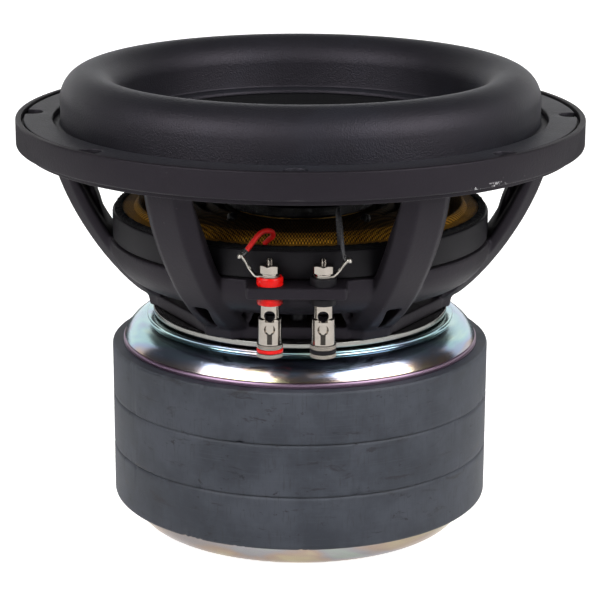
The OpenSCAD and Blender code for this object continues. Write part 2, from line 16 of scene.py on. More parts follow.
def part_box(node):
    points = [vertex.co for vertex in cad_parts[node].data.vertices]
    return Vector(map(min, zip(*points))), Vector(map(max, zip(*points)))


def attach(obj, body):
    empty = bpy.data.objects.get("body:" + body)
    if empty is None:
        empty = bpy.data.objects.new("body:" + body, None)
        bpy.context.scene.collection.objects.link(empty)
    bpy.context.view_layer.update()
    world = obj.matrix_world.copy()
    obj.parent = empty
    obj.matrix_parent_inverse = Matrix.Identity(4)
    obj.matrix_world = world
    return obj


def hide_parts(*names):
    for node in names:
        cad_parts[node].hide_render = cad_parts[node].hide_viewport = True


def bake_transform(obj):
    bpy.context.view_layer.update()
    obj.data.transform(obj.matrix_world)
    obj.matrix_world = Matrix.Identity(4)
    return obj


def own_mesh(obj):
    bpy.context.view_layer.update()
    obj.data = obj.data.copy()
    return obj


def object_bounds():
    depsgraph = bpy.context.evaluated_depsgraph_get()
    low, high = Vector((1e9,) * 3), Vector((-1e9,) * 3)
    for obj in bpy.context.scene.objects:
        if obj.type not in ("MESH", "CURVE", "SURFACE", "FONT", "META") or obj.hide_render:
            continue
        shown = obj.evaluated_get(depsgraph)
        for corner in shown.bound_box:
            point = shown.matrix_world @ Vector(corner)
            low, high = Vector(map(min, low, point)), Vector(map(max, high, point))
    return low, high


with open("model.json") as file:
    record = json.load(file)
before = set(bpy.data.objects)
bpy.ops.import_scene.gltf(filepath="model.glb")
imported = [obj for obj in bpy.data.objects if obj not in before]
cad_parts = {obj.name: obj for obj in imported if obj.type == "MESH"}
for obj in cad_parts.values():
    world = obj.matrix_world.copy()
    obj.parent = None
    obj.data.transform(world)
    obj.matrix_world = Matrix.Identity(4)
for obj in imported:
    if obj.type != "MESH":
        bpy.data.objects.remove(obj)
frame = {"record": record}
cad_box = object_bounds()

MM = 0.001
ROUND = 256  # segments round the big rings
PAIRS = [("front", "red"), ("front", "black"), ("rear", "red"), ("rear", "black")]
SHEEN = (0.92, 0.85, 1.0, 1)  # tint of the gloss on black paint and rubber


def outer_radius(node):
    """Largest radius of a round CAD node."""
    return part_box(node)[1].x / MM


def top_of(node):
    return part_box(node)[1].z / MM


def low_of(node):
    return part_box(node)[0].z / MM


# ---------------------------------------------------------------------------------------------
# Shader arithmetic
# ---------------------------------------------------------------------------------------------


class Value:
    """A socket of a finish. Arithmetic on it adds Math nodes."""

    def __init__(self, finish, socket):
        self.finish = finish
        self.socket = socket

    def math(self, operation, *others):
        numbers = dict(enumerate((self, *others)))
        return self.finish.node("ShaderNodeMath", {"operation": operation}, numbers)

    def __add__(self, other):
        return self.math("ADD", other)

    def __sub__(self, other):
        return self.math("SUBTRACT", other)

    def __mul__(self, other):
        return self.math("MULTIPLY", other)

    def __pow__(self, other):
        return self.math("POWER", other)

    def __rsub__(self, first):
        return self.finish.node("ShaderNodeMath", {"operation": "SUBTRACT"}, {0: first, 1: self})

    __radd__ = __add__
    __rmul__ = __mul__


class Finish:
    """A material, built from nodes."""

    def __init__(self, name):
        self.material = bpy.data.materials.new(name)
        self.material.use_nodes = True
        self.tree = self.material.node_tree
        self.tree.nodes.clear()
        self.point = self.node("ShaderNodeTexCoord", output="Object")
        split = [self.node("ShaderNodeSeparateXYZ", {}, {0: self.point}, n) for n in range(3)]
        self.x, self.y, self.z = split
        self.radius = (self.x * self.x + self.y * self.y) ** 0.5
        self.turn = self.x.math("ARCTAN2", 0 - self.y)

    def node(self, kind, settings=(), sockets=(), output=0):
        """Any node: its type, its settings, the values or links of its sockets and its output."""
        made = self.tree.nodes.new(kind)
        for name, value in dict(settings).items():
            if name == "stops":
                ramp = made.color_ramp
                ramp.elements.remove(ramp.elements[1])
                ramp.elements[0].position = value[0][0]
                ramp.elements[0].color = (*value[0][1], 1)
                for place, colour in value[1:]:
                    ramp.elements.new(place).color = (*colour, 1)
            else:
                setattr(made, name, value)
        for name, value in dict(sockets).items():
            socket = made.inputs[name]
            if isinstance(value, Value):
                self.tree.links.new(value.socket, socket)
            elif socket.type == "RGBA" and len(value) == 3:
                socket.default_value = (*value, 1)
            else:
                socket.default_value = value
        return Value(self, made.outputs[output])

    def blend(self, first, second, amount, way="MIX"):
        """A colour between two, by an amount from 0 to 1."""
        settings = {"data_type": "RGBA", "blend_type": way, "clamp_factor": True}
        return self.node("ShaderNodeMix", settings, {0: amount, 6: first, 7: second}, 2)

    def ramp(self, amount, *stops):
        """A colour read off stops of (place, colour)."""
        return self.node("ShaderNodeValToRGB", {"stops": stops}, {0: amount})

    def step(self, amount, low, high):
        """0 below low, 1 above high, and smooth between."""
        sockets = {0: amount, 1: low, 2: high, 3: 0.0, 4: 1.0}
        return self.node("ShaderNodeMapRange", {"interpolation_type": "SMOOTHSTEP"}, sockets)

    def stretched(self, x=1.0, y=1.0, z=1.0):
        """Object coordinates scaled by an amount on each axis."""
        sockets = {0: self.point, 1: (x, y, z)}
        return self.node("ShaderNodeVectorMath", {"operation": "MULTIPLY"}, sockets)

    def unrolled(self, around=1.0, up=1.0, out=0.0):
        """Coordinates that run round the axis, up it and out from it, each scaled by an amount."""
        sockets = {0: self.turn * around, 1: self.z * up, 2: self.radius * out}
        return self.node("ShaderNodeCombineXYZ", {}, sockets)

    def cloud(self, size, detail=3.0, rough=0.5, at=None, warp=0.0):
        """Soft noise whose lumps are about size metres across."""
        sockets = {"Scale": 1 / size, "Detail": detail, "Roughness": rough, "Distortion": warp}
        sockets["Vector"] = at or self.point
        return self.node("ShaderNodeTexNoise", {}, sockets)

    def cells(self, size, at=None, feature="F1", output=0):
        """Distance within cells of about size metres."""
        sockets = {"Scale": 1 / size, "Vector": at or self.point}
        return self.node("ShaderNodeTexVoronoi", {"feature": feature}, sockets, output)

    def bump(self, height, depth, under=None):
        """A normal that shows height as relief of depth metres."""
        sockets = {"Height": height, "Distance": depth, "Strength": 1.0}
        if under:
            sockets["Normal"] = under
        return self.node("ShaderNodeBump", {}, sockets)

    def edges(self, low, high):
        """1 on outer edges and 0 elsewhere, from the mesh's curvature."""
        bend = self.node("ShaderNodeNewGeometry", output="Pointiness")
        return self.step(bend, low, high)

    def close(self, **sockets):
        """Ends the tree in one shader with these sockets, named with _ for a space."""
        named = {name.replace("_", " "): value for name, value in sockets.items()}
        shader = self.node("ShaderNodeBsdfPrincipled", {}, named)
        end = self.tree.nodes.new("ShaderNodeOutputMaterial")
        self.tree.links.new(shader.socket, end.inputs["Surface"])
        return self.material


# ---------------------------------------------------------------------------------------------
# Finishes
# ---------------------------------------------------------------------------------------------


def powder_coat():
    """Satin charcoal powder coat on a casting, with a few chips and rubbed edges whose light edge lines are
    partly painted highlight.
    """
    f = Finish("powder_coat")
    mottle = f.cloud(0.018, 4.0, 0.6)
    grain = f.cloud(0.0007, 2.0, 0.7)
    # Lighter edges: partly rubbed wear, partly painted highlight along the edge lines.
    worn_and_highlit_edges = f.edges(0.515, 0.60) * f.step(f.cloud(0.012, 3.0), 0.35, 0.65)
    dust = f.step(f.cells(0.011, output="Distance"), 0.07, 0.02) * f.step(grain, 0.45, 0.6)
    base = f.blend((0.0058, 0.0048, 0.0066), (0.0095, 0.0080, 0.0102), mottle)
    base = f.blend(base, (0.013, 0.0112, 0.0140), f.step(grain, 0.55, 0.75))
    base = f.blend(base, (0.060, 0.058, 0.063), worn_and_highlit_edges * 0.5)
    base = f.blend(base, (0.075, 0.073, 0.075), dust * 0.5)
    # The chips lie along the flange's lower edge, to the right of the terminals
    chip_arc = f.step(f.turn, 0.57, 0.61) * f.step(f.turn, 0.76, 0.71)
    chip_line = f.step(f.z, 0.0021, 0.0029) * f.step(f.z, 0.0062, 0.0048)
    chip_line = chip_line * f.step(f.radius, 0.1595, 0.161)
    chips = chip_arc * chip_line * f.step(f.cloud(0.0055, 4.0, 0.7), 0.575, 0.60)
    base = f.blend(base, (0.62, 0.62, 0.63), chips)
    rough = 0.40 + 0.12 * mottle + 0.1 * grain - 0.08 * worn_and_highlit_edges
    relief = f.bump(f.cloud(0.0016, 2.0) * 0.6 + grain * 0.4, 0.00018)
    return f.close(
        Base_Color=base,
        Roughness=rough,
        Normal=relief,
        Specular_IOR_Level=0.17,
        Specular_Tint=SHEEN,
    )


def pebbled_rubber(name, grain_size, base_low, base_high):
    """Matt black rubber with a fine pebbled skin."""
    f = Finish(name)
    pebbles = f.cells(grain_size, feature="SMOOTH_F1")
    fine = f.cloud(grain_size * 0.6, 2.0, 0.6)
    patches = f.cloud(0.03, 4.0, 0.6)
    bloom = f.step(f.cloud(0.045, 5.0, 0.65), 0.45, 0.72)
    base = f.blend(base_low, base_high, patches)
    base = f.blend(base, (0.009, 0.011, 0.016), bloom * 0.4)
    rough = 0.40 + 0.12 * patches + 0.10 * fine
    relief = f.bump(pebbles + 0.35 * fine, grain_size * 0.2)
    return f.close(
        Base_Color=base,
        Roughness=rough,
        Normal=relief,
        Specular_IOR_Level=0.32,
        Specular_Tint=SHEEN,
        Sheen_Weight=0.02,
        Sheen_Roughness=0.45,
        Sheen_Tint=(0.62, 0.70, 0.85, 1),
    )


def moulded_plastic(name, low, high, gloss, shine):
    """Injection moulded plastic with faint flow marks and handling marks."""
    f = Finish(name)
    flow = f.cloud(0.006, 3.0, 0.5, f.stretched(1, 1, 3))
    marks = f.step(f.cloud(0.0011, 3.0, 0.7, f.stretched(1, 1, 0.2)), 0.62, 0.78)
    base = f.blend(low, high, flow)
    rough = gloss + 0.10 * flow + 0.15 * marks
    relief = f.bump(f.cloud(0.0009, 2.0), 0.00004)
    return f.close(Base_Color=base, Roughness=rough, Normal=relief, Specular_IOR_Level=shine)


def spider_cloth():
    """Mustard phenolic cloth: a plain weave of crossing threads, stiff with resin."""
    f = Finish("spider_cloth")
    pitch = 0.0017
    warp = (f.x * (math.tau / pitch)).math("SINE")
    weft = (f.y * (math.tau / pitch)).math("SINE")
    weave = warp * weft * 0.5 + 0.5
    ribs = warp.math("ABSOLUTE").math("MAXIMUM", weft.math("ABSOLUTE"))
    resin = f.cloud(0.02, 4.0, 0.6)
    fray = f.cloud(0.0004, 2.0, 0.7)
    base = f.blend((0.035, 0.015, 0.002), (0.46, 0.225, 0.016), f.step(weave, 0.25, 0.9))
    base = f.blend(base, (0.030, 0.014, 0.003), f.step(ribs, 0.55, 0.15) * 0.9)
    base = f.blend(base, (0.05, 0.022, 0.003), f.step(resin, 0.45, 0.75) * 0.5)
    # Painted shade: the cloth darkens towards its centre, where the cone and the flange shade it.
    base = f.blend(base, (0.004, 0.003, 0.002), f.step(f.radius, 0.094, 0.072) * 0.93)
    base = f.blend(base, (0.004, 0.004, 0.004), f.step(f.radius, 0.1030, 0.1042))
    relief = f.bump(weave * 0.7 + ribs * 0.5 + fray * 0.3, 0.00035)
    rough = 0.62 + 0.2 * fray
    return f.close(Base_Color=base, Roughness=rough, Normal=relief, Specular_IOR_Level=0.08)


def black_glue(name, wet):
    """Cured black rubber cement: lumpy, speckled, more or less wet looking; on wet glue the light specks are
    painted highlights.
    """
    f = Finish(name)
    lumps = f.cloud(0.0035, 3.0, 0.6)
    glint_specks = f.step(f.cells(0.0016, output="Distance"), 0.28, 0.12)
    # Painted highlights: light bluish specks on wet glue stand for its glints.
    base = f.blend((0.004, 0.004, 0.005), (0.03, 0.034, 0.045), glint_specks * 0.8 * wet)
    rough = 0.65 - 0.45 * wet + 0.35 * lumps
    relief = f.bump(lumps + glint_specks * 0.35, 0.0009)
    return f.close(
        Base_Color=base,
        Roughness=rough,
        Normal=relief,
        Coat_Weight=0.3 * wet,
        Specular_IOR_Level=0.1 + 0.4 * wet,
    )


def pressed_pulp():
    """Black pressed paper with fibres and a thin coat of damping lacquer."""
    f = Finish("pressed_pulp")
    felt = f.cloud(0.0022, 4.0, 0.7)
    fibres = f.cells(0.0011, f.stretched(1.0, 0.35, 1.0), output="Distance")
    patches = f.cloud(0.025, 4.0)
    base = f.blend((0.0020, 0.0020, 0.0024), (0.0050, 0.0050, 0.0060), patches * 0.6 + felt * 0.4)
    rough = 0.34 + 0.22 * felt + 0.08 * patches
    relief = f.bump(felt + 0.3 * fibres, 0.00025)
    return f.close(Base_Color=base, Roughness=rough, Normal=relief, Specular_IOR_Level=0.12)


def coil_foil():
    """Varnished aluminium foil of the coil former."""
    f = Finish("coil_foil")
    streaks = f.cloud(0.02, 3.0, 0.6, f.unrolled(0.02, 6.0))
    base = f.blend((0.30, 0.17, 0.05), (0.52, 0.34, 0.13), streaks)
    relief = f.bump(f.cloud(0.004, 2.0), 0.0001)
    return f.close(Base_Color=base, Metallic=0.8, Roughness=0.28 + 0.2 * streaks, Normal=relief)


def wound_copper():
    """Enamelled copper wire, turn on turn."""
    f = Finish("wound_copper")
    wire_pitch = 0.0011
    turns = (f.z * (math.tau / wire_pitch)).math("SINE")
    age = f.cloud(0.008, 3.0)
    base = f.blend((0.40, 0.11, 0.035), (0.70, 0.27, 0.10), age)
    base = f.blend((0.10, 0.03, 0.01), base, f.step(turns, -1.0, -0.2))
    relief = f.bump(turns, 0.0004)
    return f.close(Base_Color=base, Metallic=0.9, Roughness=0.25 + 0.2 * age, Normal=relief)


def zinc_film(name, tone, turned, colourful):
    """Turned steel under yellow zinc: thin films of yellow, pink, blue and green over grey."""
    f = Finish(name)
    drift = f.cloud(0.050, 3.0, 0.55, f.unrolled(0.06, 2.2, 1.2), 0.8)
    height = f.step(f.z, low_of("top_plate") * MM, top_of("top_plate") * MM)
    film = drift * 1.15 - 0.2 + 0.22 * height
    tint = f.ramp(
        film,
        (0.10, (0.70, 0.72, 0.60)),
        (0.26, (0.66, 0.60, 0.34)),
        (0.38, (0.44, 0.30, 0.24)),
        (0.50, (0.28, 0.34, 0.50)),
        (0.62, (0.30, 0.50, 0.54)),
        (0.76, (0.50, 0.66, 0.58)),
        (0.92, (0.70, 0.78, 0.76)),
    )
    base = f.blend((0.60, 0.60, 0.57), tint, colourful)
    base = f.blend(base, tone, 1.0, "MULTIPLY")
    stains = f.step(f.cloud(0.013, 5.0, 0.7), 0.60, 0.75)
    base = f.blend(base, (0.30, 0.27, 0.20), stains * 0.35)
    scratches = f.cloud(0.0006, 2.0, 0.6, f.unrolled(0.004, 1.0, 1.0))
    rough = 0.11 + 0.08 * f.cloud(0.02, 4.0) + 0.12 * stains + turned * scratches
    relief = f.bump(scratches, 0.00003 * (1 + turned * 8))
    return f.close(Base_Color=base, Metallic=1.0, Roughness=rough, Normal=relief)


def purple_lip():
    """The top plate's lip, where the film has turned purple."""
    f = Finish("purple_zinc")
    drift = f.cloud(0.05, 3.0, 0.5, f.unrolled(0.05, 2.0, 2.0))
    lines = f.cloud(0.0005, 1.0, 0.5, f.unrolled(0.001, 1.0, 1.0))
    base = f.blend((0.16, 0.10, 0.19), (0.33, 0.24, 0.30), drift)
    base = f.blend(base, (0.10, 0.09, 0.11), f.step(lines, 0.5, 0.7) * 0.5)
    relief = f.bump(lines, 0.00008)
    return f.close(Base_Color=base, Metallic=1.0, Roughness=0.26 + 0.2 * lines, Normal=relief)


def ferrite():
    """Ground hard ferrite: dull blue-grey, with grinding marks, glue smears and thumb marks."""
    f = Finish("ferrite")
    clouds = f.cloud(0.035, 5.0, 0.6)
    grinding = f.cloud(0.004, 3.0, 0.65, f.unrolled(0.012, 5.0))
    drips = f.cloud(0.004, 3.0, 0.6, f.unrolled(0.35, 0.35))
    smears = f.step(f.cloud(0.012, 6.0, 0.72, f.unrolled(0.045, 1.5), 0.6), 0.57, 0.66)
    spots = f.step(f.cloud(0.0065, 4.0, 0.7, f.unrolled(0.08, 1.0)), 0.62, 0.70)
    grain = f.cloud(0.0006, 2.0, 0.7)
    base = f.blend((0.024, 0.028, 0.037), (0.054, 0.060, 0.075), f.step(clouds, 0.30, 0.70))
    base = f.blend(base, (0.066, 0.072, 0.084), f.step(grinding, 0.5, 0.8) * 0.4)
    base = f.blend(base, (0.027, 0.029, 0.034), f.step(drips, 0.52, 0.75) * 0.6)
    base = f.blend(base, (0.010, 0.010, 0.013), smears * 0.7)
    base = f.blend(base, (0.006, 0.006, 0.008), spots * 0.7)
    base = f.blend(base, (0.14, 0.145, 0.155), f.edges(0.53, 0.62) * 0.3)
    rough = 0.44 + 0.16 * clouds + 0.14 * grinding - 0.1 * smears
    relief = f.bump(grinding * 0.5 + grain * 0.5, 0.00010)
    return f.close(Base_Color=base, Roughness=rough, Normal=relief, Specular_IOR_Level=0.25)


def turned_metal(name, low, high, rough_low, rough_high):
    """Bright metal faced on a lathe."""
    f = Finish(name)
    rings = f.cloud(0.0007, 2.0, 0.7, f.unrolled(0.0008, 1.0, 1.0))
    tarnish = f.cloud(0.014, 5.0, 0.6)
    base = f.blend(low, high, tarnish * 0.6 + rings * 0.4)
    rough = rough_low + (rough_high - rough_low) * rings + 0.08 * tarnish
    return f.close(Base_Color=base, Metallic=1.0, Roughness=rough, Normal=f.bump(rings, 0.00006))


def plated_nickel():
    """Warm, bright nickel plate over machined brass."""
    f = Finish("plated_nickel")
    tarnish = f.cloud(0.004, 4.0, 0.6)
    lines = f.cloud(0.00035, 2.0, 0.5, f.stretched(0.15, 0.15, 1.0))
    base = f.blend((0.19, 0.172, 0.150), (0.29, 0.267, 0.240), tarnish)
    # Painted shade: the nickel is darkened in its hollows.
    hollow_shade = f.edges(0.495, 0.44) * 0.8
    base = f.blend(base, (0.035, 0.030, 0.026), hollow_shade)
    rough = 0.06 + 0.08 * tarnish + 0.06 * lines
    return f.close(Base_Color=base, Metallic=1.0, Roughness=rough, Normal=f.bump(lines, 0.00002))


def tinned_brass():
    """Stamped brass with a dull tin coat."""
    f = Finish("tinned_brass")
    flux = f.cloud(0.003, 4.0, 0.65)
    base = f.blend((0.24, 0.225, 0.195), (0.42, 0.405, 0.37), flux)
    rough = 0.22 + 0.25 * flux
    return f.close(Base_Color=base, Metallic=1.0, Roughness=rough, Normal=f.bump(flux, 0.00010))


def spring_wire():
    """Drawn spring steel."""
    f = Finish("spring_wire")
    drawn = f.cloud(0.0012, 3.0)
    base = f.blend((0.38, 0.38, 0.39), (0.60, 0.60, 0.60), drawn)
    return f.close(Base_Color=base, Metallic=1.0, Roughness=0.25 + 0.15 * drawn)


def silicone_sleeving():
    """Red silicone sleeving over a lead."""
    f = Finish("red_sleeving")
    cling = f.cloud(0.003, 3.0)
    base = f.blend((0.50, 0.006, 0.006), (0.74, 0.014, 0.011), cling)
    relief = f.bump(f.cloud(0.0011, 2.0), 0.00012)
    rough = 0.36 + 0.16 * cling
    return f.close(Base_Color=base, Roughness=rough, Normal=relief, Specular_IOR_Level=0.25)


def braided_lead():
    """Black braid over tinsel, with a few strands that catch the light."""
    f = Finish("black_braid")
    strands = f.cloud(0.0007, 2.0, 0.6)
    base = f.blend((0.010, 0.010, 0.012), (0.07, 0.07, 0.085), f.step(strands, 0.45, 0.75))
    rough = 0.35 + 0.3 * strands
    return f.close(Base_Color=base, Roughness=rough, Normal=f.bump(strands, 0.00015))


def black_foam():
    """Closed-cell gasket foam."""
    f = Finish("black_foam")
    pores = f.cells(0.0009, output="Distance")
    base = f.blend((0.006, 0.006, 0.006), (0.016, 0.016, 0.017), f.cloud(0.004))
    return f.close(Base_Color=base, Roughness=0.8 + 0.15 * pores, Normal=f.bump(pores, 0.0003))


def screen_wire():
    """Black lacquered screen wire."""
    f = Finish("screen_wire")
    wear = f.cloud(0.002, 3.0)
    base = f.blend((0.010, 0.010, 0.010), (0.035, 0.035, 0.036), wear)
    return f.close(Base_Color=base, Metallic=0.4, Roughness=0.4 + 0.2 * wear)


def black_oxide():
    """Blackened steel screws with oil on them."""
    f = Finish("black_oxide")
    oil = f.cloud(0.004, 4.0)
    base = f.blend((0.014, 0.014, 0.016), (0.035, 0.035, 0.040), oil)
    rough = 0.25 + 0.25 * oil
    return f.close(Base_Color=base, Metallic=0.7, Roughness=rough, Normal=f.bump(oil, 0.0001))


coat = powder_coat()
surround_rubber = pebbled_rubber("pebbled_rubber", 0.0008, (0.0026, 0.0026, 0.0038), (0.0050, 0.0050, 0.0068))
gasket_rubber = pebbled_rubber("gasket_rubber", 0.0010, (0.0050, 0.0047, 0.0058), (0.0090, 0.0084, 0.0100))
black_plastic = moulded_plastic("black_plastic", (0.005, 0.0046, 0.006), (0.010, 0.0092, 0.0112), 0.42, 0.10)
red_plastic = moulded_plastic("red_plastic", (0.66, 0.004, 0.003), (0.80, 0.009, 0.006), 0.22, 0.18)
cloth = spider_cloth()
glue = black_glue("black_glue", 1.0)
dull_glue = black_glue("dull_glue", 0.0)
pulp = pressed_pulp()
foil = coil_foil()
copper = wound_copper()
dome_zinc = zinc_film("zinc_film", (0.86, 0.90, 0.92), 0.05, 0.85)
plate_zinc = zinc_film("yellow_zinc", (0.50, 0.45, 0.41), 0.12, 0.5)
lip_zinc = purple_lip()
magnet_ferrite = ferrite()
aluminium = turned_metal("turned_aluminium", (0.62, 0.63, 0.64), (0.76, 0.77, 0.78), 0.18, 0.4)
bright_steel = turned_metal("bright_steel", (0.13, 0.13, 0.125), (0.24, 0.24, 0.225), 0.12, 0.30)
nickel = plated_nickel()
# Dark metal that paints shade into the knurl's valleys and the sleeve's groove.
tarnish = turned_metal("groove_shade_nickel", (0.020, 0.018, 0.016), (0.050, 0.045, 0.040), 0.30, 0.50)
tin = tinned_brass()
spring_steel = spring_wire()
sleeving = silicone_sleeving()
braid = braided_lead()
foam = black_foam()
screen_black = screen_wire()
oxide = black_oxide()


# ---------------------------------------------------------------------------------------------
# Mesh helpers
# ---------------------------------------------------------------------------------------------


def make(name, points, faces, material, smooth=40):
    """A piece from points in millimetres. Edges sharper than smooth degrees stay sharp."""
    mesh = bpy.data.meshes.new(name)
    mesh.from_pydata([tuple(c * MM for c in p) for p in points], [], faces)
    bm = bmesh.new()
    bm.from_mesh(mesh)
    bmesh.ops.remove_doubles(bm, verts=bm.verts, dist=1e-7)
    bmesh.ops.recalc_face_normals(bm, faces=bm.faces)
    bm.to_mesh(mesh)
    bm.free()
    piece = bpy.data.objects.new(name, mesh)
    bpy.context.scene.collection.objects.link(piece)
    shade(piece, material, smooth)
    return piece


def shade(piece, material, smooth=40):
    piece.data.materials.clear()
    piece.data.materials.append(material)
    piece.data.shade_smooth()
    if smooth:
        piece.data.set_sharp_from_angle(angle=math.radians(smooth))


def settle(piece):
    """Makes the piece's modifiers part of its mesh."""
    graph = bpy.context.evaluated_depsgraph_get()
    mesh = bpy.data.meshes.new_from_object(piece.evaluated_get(graph))
    piece.modifiers.clear()
    before = piece.data
    piece.data = mesh
    bpy.data.meshes.remove(before)
    mesh.name = piece.name


def drop(piece):
    mesh = piece.data
    bpy.data.objects.remove(piece)
    bpy.data.meshes.remove(mesh)


def joined(name, pieces):
    """One piece made of several, each with its own material."""
    bm = bmesh.new()
    materials = []
    for piece in pieces:
        offset = len(materials)
        count = len(bm.faces)
        bm.from_mesh(piece.data)
        bm.faces.ensure_lookup_table()
        for face in bm.faces[count:]:
            face.material_index += offset
        materials += list(piece.data.materials)
        drop(piece)
    mesh = bpy.data.meshes.new(name)
    bm.to_mesh(mesh)
    bm.free()
    for material in materials:
        mesh.materials.append(material)
    whole = bpy.data.objects.new(name, mesh)
    bpy.context.scene.collection.objects.link(whole)
    return whole


def cut(piece, cutters, smooth=40):
    """Takes the cutters out of a closed piece."""
    tool = joined("tool", cutters) if len(cutters) > 1 else cutters[0]
    modifier = piece.modifiers.new("cut", "BOOLEAN")
    modifier.operation = "DIFFERENCE"
    modifier.solver = "MANIFOLD"
    modifier.object = tool
    settle(piece)
    drop(tool)
    shade(piece, piece.data.materials[0], smooth)


def fuse(piece, voxel, passes):
    """Turns overlapping closed shells into one skin and rounds its edges and corners."""
    modifier = piece.modifiers.new("skin", "REMESH")
    modifier.mode = "VOXEL"
    modifier.voxel_size = voxel * MM
    soften = piece.modifiers.new("soften", "SMOOTH")
    soften.factor = 0.5
    soften.iterations = passes
    settle(piece)


def rounded(corners, steps=5):
    """A closed outline from corners (r, z, radius), each rounded by its radius."""
    line = []
    for i, (x, z, radius) in enumerate(corners):
        corner = Vector((x, z))
        before = Vector(corners[i - 1][:2]) - corner
        after = Vector(corners[(i + 1) % len(corners)][:2]) - corner
        if radius == 0:
            line.append(tuple(corner))
            continue
        half = before.angle(after) / 2
        reach = min(radius / math.tan(half), 0.48 * before.length, 0.48 * after.length)
        start = corner + before.normalized() * reach
        end = corner + after.normalized() * reach
        for k in range(steps + 1):
            t = k / steps
            line.append(tuple((1 - t) ** 2 * start + 2 * t * (1 - t) * corner + t * t * end))
    return line


def arc(mid, radius, start, end, steps):
    """Points on a circle in the outline's plane, from angle start to end in degrees."""
    angles = [math.radians(start + (end - start) * k / steps) for k in range(steps + 1)]
    return [(mid[0] + radius * math.cos(a), mid[1] + radius * math.sin(a)) for a in angles]


def quarter(r_top, z_top, r_low, z_low, steps=12):
    """Quarter of an ellipse, level at its top and upright at its foot."""
    turns = [math.radians(90 * k / steps) for k in range(steps + 1)]
    return [
        (r_top + (r_low - r_top) * math.sin(a), z_low + (z_top - z_low) * math.cos(a)) for a in turns
    ]


def around(radius, azimuth, z):
    a = math.radians(azimuth)
    return (radius * math.sin(a), -radius * math.cos(a), z)


def beside(radius, side, azimuth, z):
    """A point at a radius and an azimuth, then sideways to the right."""
    a = math.radians(azimuth)
    x = radius * math.sin(a) + side * math.cos(a)
    return (x, -radius * math.cos(a) + side * math.sin(a), z)


def grid_faces(rows, columns, close_rows=True, close_columns=True):
    """Faces of a grid of points, row by row."""
    faces = []
    for i in range(rows if close_rows else rows - 1):
        for j in range(columns if close_columns else columns - 1):
            k, m = (i + 1) % rows, (j + 1) % columns
            faces.append((i * columns + j, k * columns + j, k * columns + m, i * columns + m))
    return faces


def capped_faces(points, columns):
    """Faces of a closed bar of rings of points, with a face at each end."""
    faces = grid_faces(len(points) // columns, columns, close_rows=False)
    return [*faces, tuple(range(columns)), tuple(range(len(points) - columns, len(points)))]


def lathe(name, outline, material, segments=ROUND, smooth=40, bend=None):
    """A solid of revolution of a closed outline of (r, z). bend may move each point."""
    points = []
    for s in range(segments):
        azimuth = 360 * s / segments
        for r, z in outline:
            if bend:
                r, z = bend(azimuth, r, z)
            points.append(around(r, azimuth, z))
    return make(name, points, grid_faces(segments, len(outline)), material, smooth)


def smooth_path(route, step):
    """Points about step apart on a smooth curve through the route's points."""
    route = [Vector(p) for p in route]
    padded = [2 * route[0] - route[1], *route, 2 * route[-1] - route[-2]]
    path = []
    for a, b, c, d in zip(padded, padded[1:], padded[2:], padded[3:]):
        count = max(2, round((c - b).length / step))
        for k in range(count):
            t = k / count
            path.append(
                0.5
                * (
                    2 * b
                    + (c - a) * t
                    + (2 * a - 5 * b + 4 * c - d) * t * t
                    + (3 * b - a - 3 * c + d) * t ** 3
                )
            )
    return [*path, route[-1]]


def tube(name, path, radius, material, sides=12, smooth=40):
    """A closed tube along a path. radius is a number, or a function of length and angle."""
    ahead = (path[1] - path[0]).normalized()
    side = ahead.orthogonal().normalized()
    points = []
    length = 0.0
    for i, p in enumerate(path):
        now = (path[min(i + 1, len(path) - 1)] - path[max(i - 1, 0)]).normalized()
        side = (side - now * side.dot(now)).normalized()
        up = now.cross(side)
        if i:
            length += (p - path[i - 1]).length
        for s in range(sides):
            a = math.tau * s / sides
            r = radius(length, a) if callable(radius) else radius
            points.append(p + side * (r * math.cos(a)) + up * (r * math.sin(a)))
    return make(name, points, capped_faces(points, sides), material, smooth)


def prism(name, outline, low, high, material=None):
    """A closed prism of an outline of (x, y) between two heights."""
    count = len(outline)
    points = [(x, y, low) for x, y in outline] + [(x, y, high) for x, y in outline]
    faces = [(i, (i + 1) % count, count + (i + 1) % count, count + i) for i in range(count)]
    faces += [tuple(range(count)), tuple(range(count, 2 * count))]
    return make(name, points, faces, material or coat)


def disc(radius, centre=(0, 0), steps=32):
    return arc(centre, radius, 0, 360 - 360 / steps, steps - 1)


def oblong(x, y):
    """A rectangle about the origin from its half sides."""
    return [(-x, -y), (x, -y), (x, y), (-x, y)]


def shift(piece, move=(0, 0, 0), turn=None, degrees=0):
    """Moves a piece's mesh by millimetres, after turning it about an axis."""
    change = Matrix.Translation(Vector(move) * MM)
    if turn:
        change = change @ Matrix.Rotation(math.radians(degrees), 4, turn)
    piece.data.transform(change)
    return piece


def place(piece, body, slot, *nodes):
    """Rides the piece on a body and hides the CAD nodes it stands for. slot is not used."""
    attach(piece, body)
    if nodes:
        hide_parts(*nodes)
    return piece


def flex(piece, node, moving_share):
    """A piece that joins the basket to the cone: bakes its transform and hides its CAD node. moving_share is
    called for each point, but the shares are not used.
    """
    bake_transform(piece)
    shares = np.array([moving_share(v.co / MM) for v in piece.data.vertices], np.float32)
    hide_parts(node)
    return piece


def eased(value, start, end):
    """0 at start, 1 at end, smooth between."""
    t = min(1.0, max(0.0, (value - start) / (end - start)))
    return t * t * (3 - 2 * t)


# ---------------------------------------------------------------------------------------------
# Basket
# ---------------------------------------------------------------------------------------------

FLANGE_R = outer_radius("basket")
RIM_TOP = top_of("basket")
BASKET_LOW = low_of("basket")
FLANGE_IN_R = 132
SEAT_R = FLANGE_R - 5
SIDE_Z = 3.2
RIM_W = 3.2
FLANGE_FLOOR = 14
LANDING_R = 146.5
LANDING_Z = 12.4
BOLT_CIRCLE = frame["record"]["mounts"][0]["dims"]["pcd_mm"] / 2
BOLT_HOLE = frame["record"]["mounts"][0]["dims"]["hole_r_mm"]
BOLTS = frame["record"]["mounts"][0]["dims"]["count"]

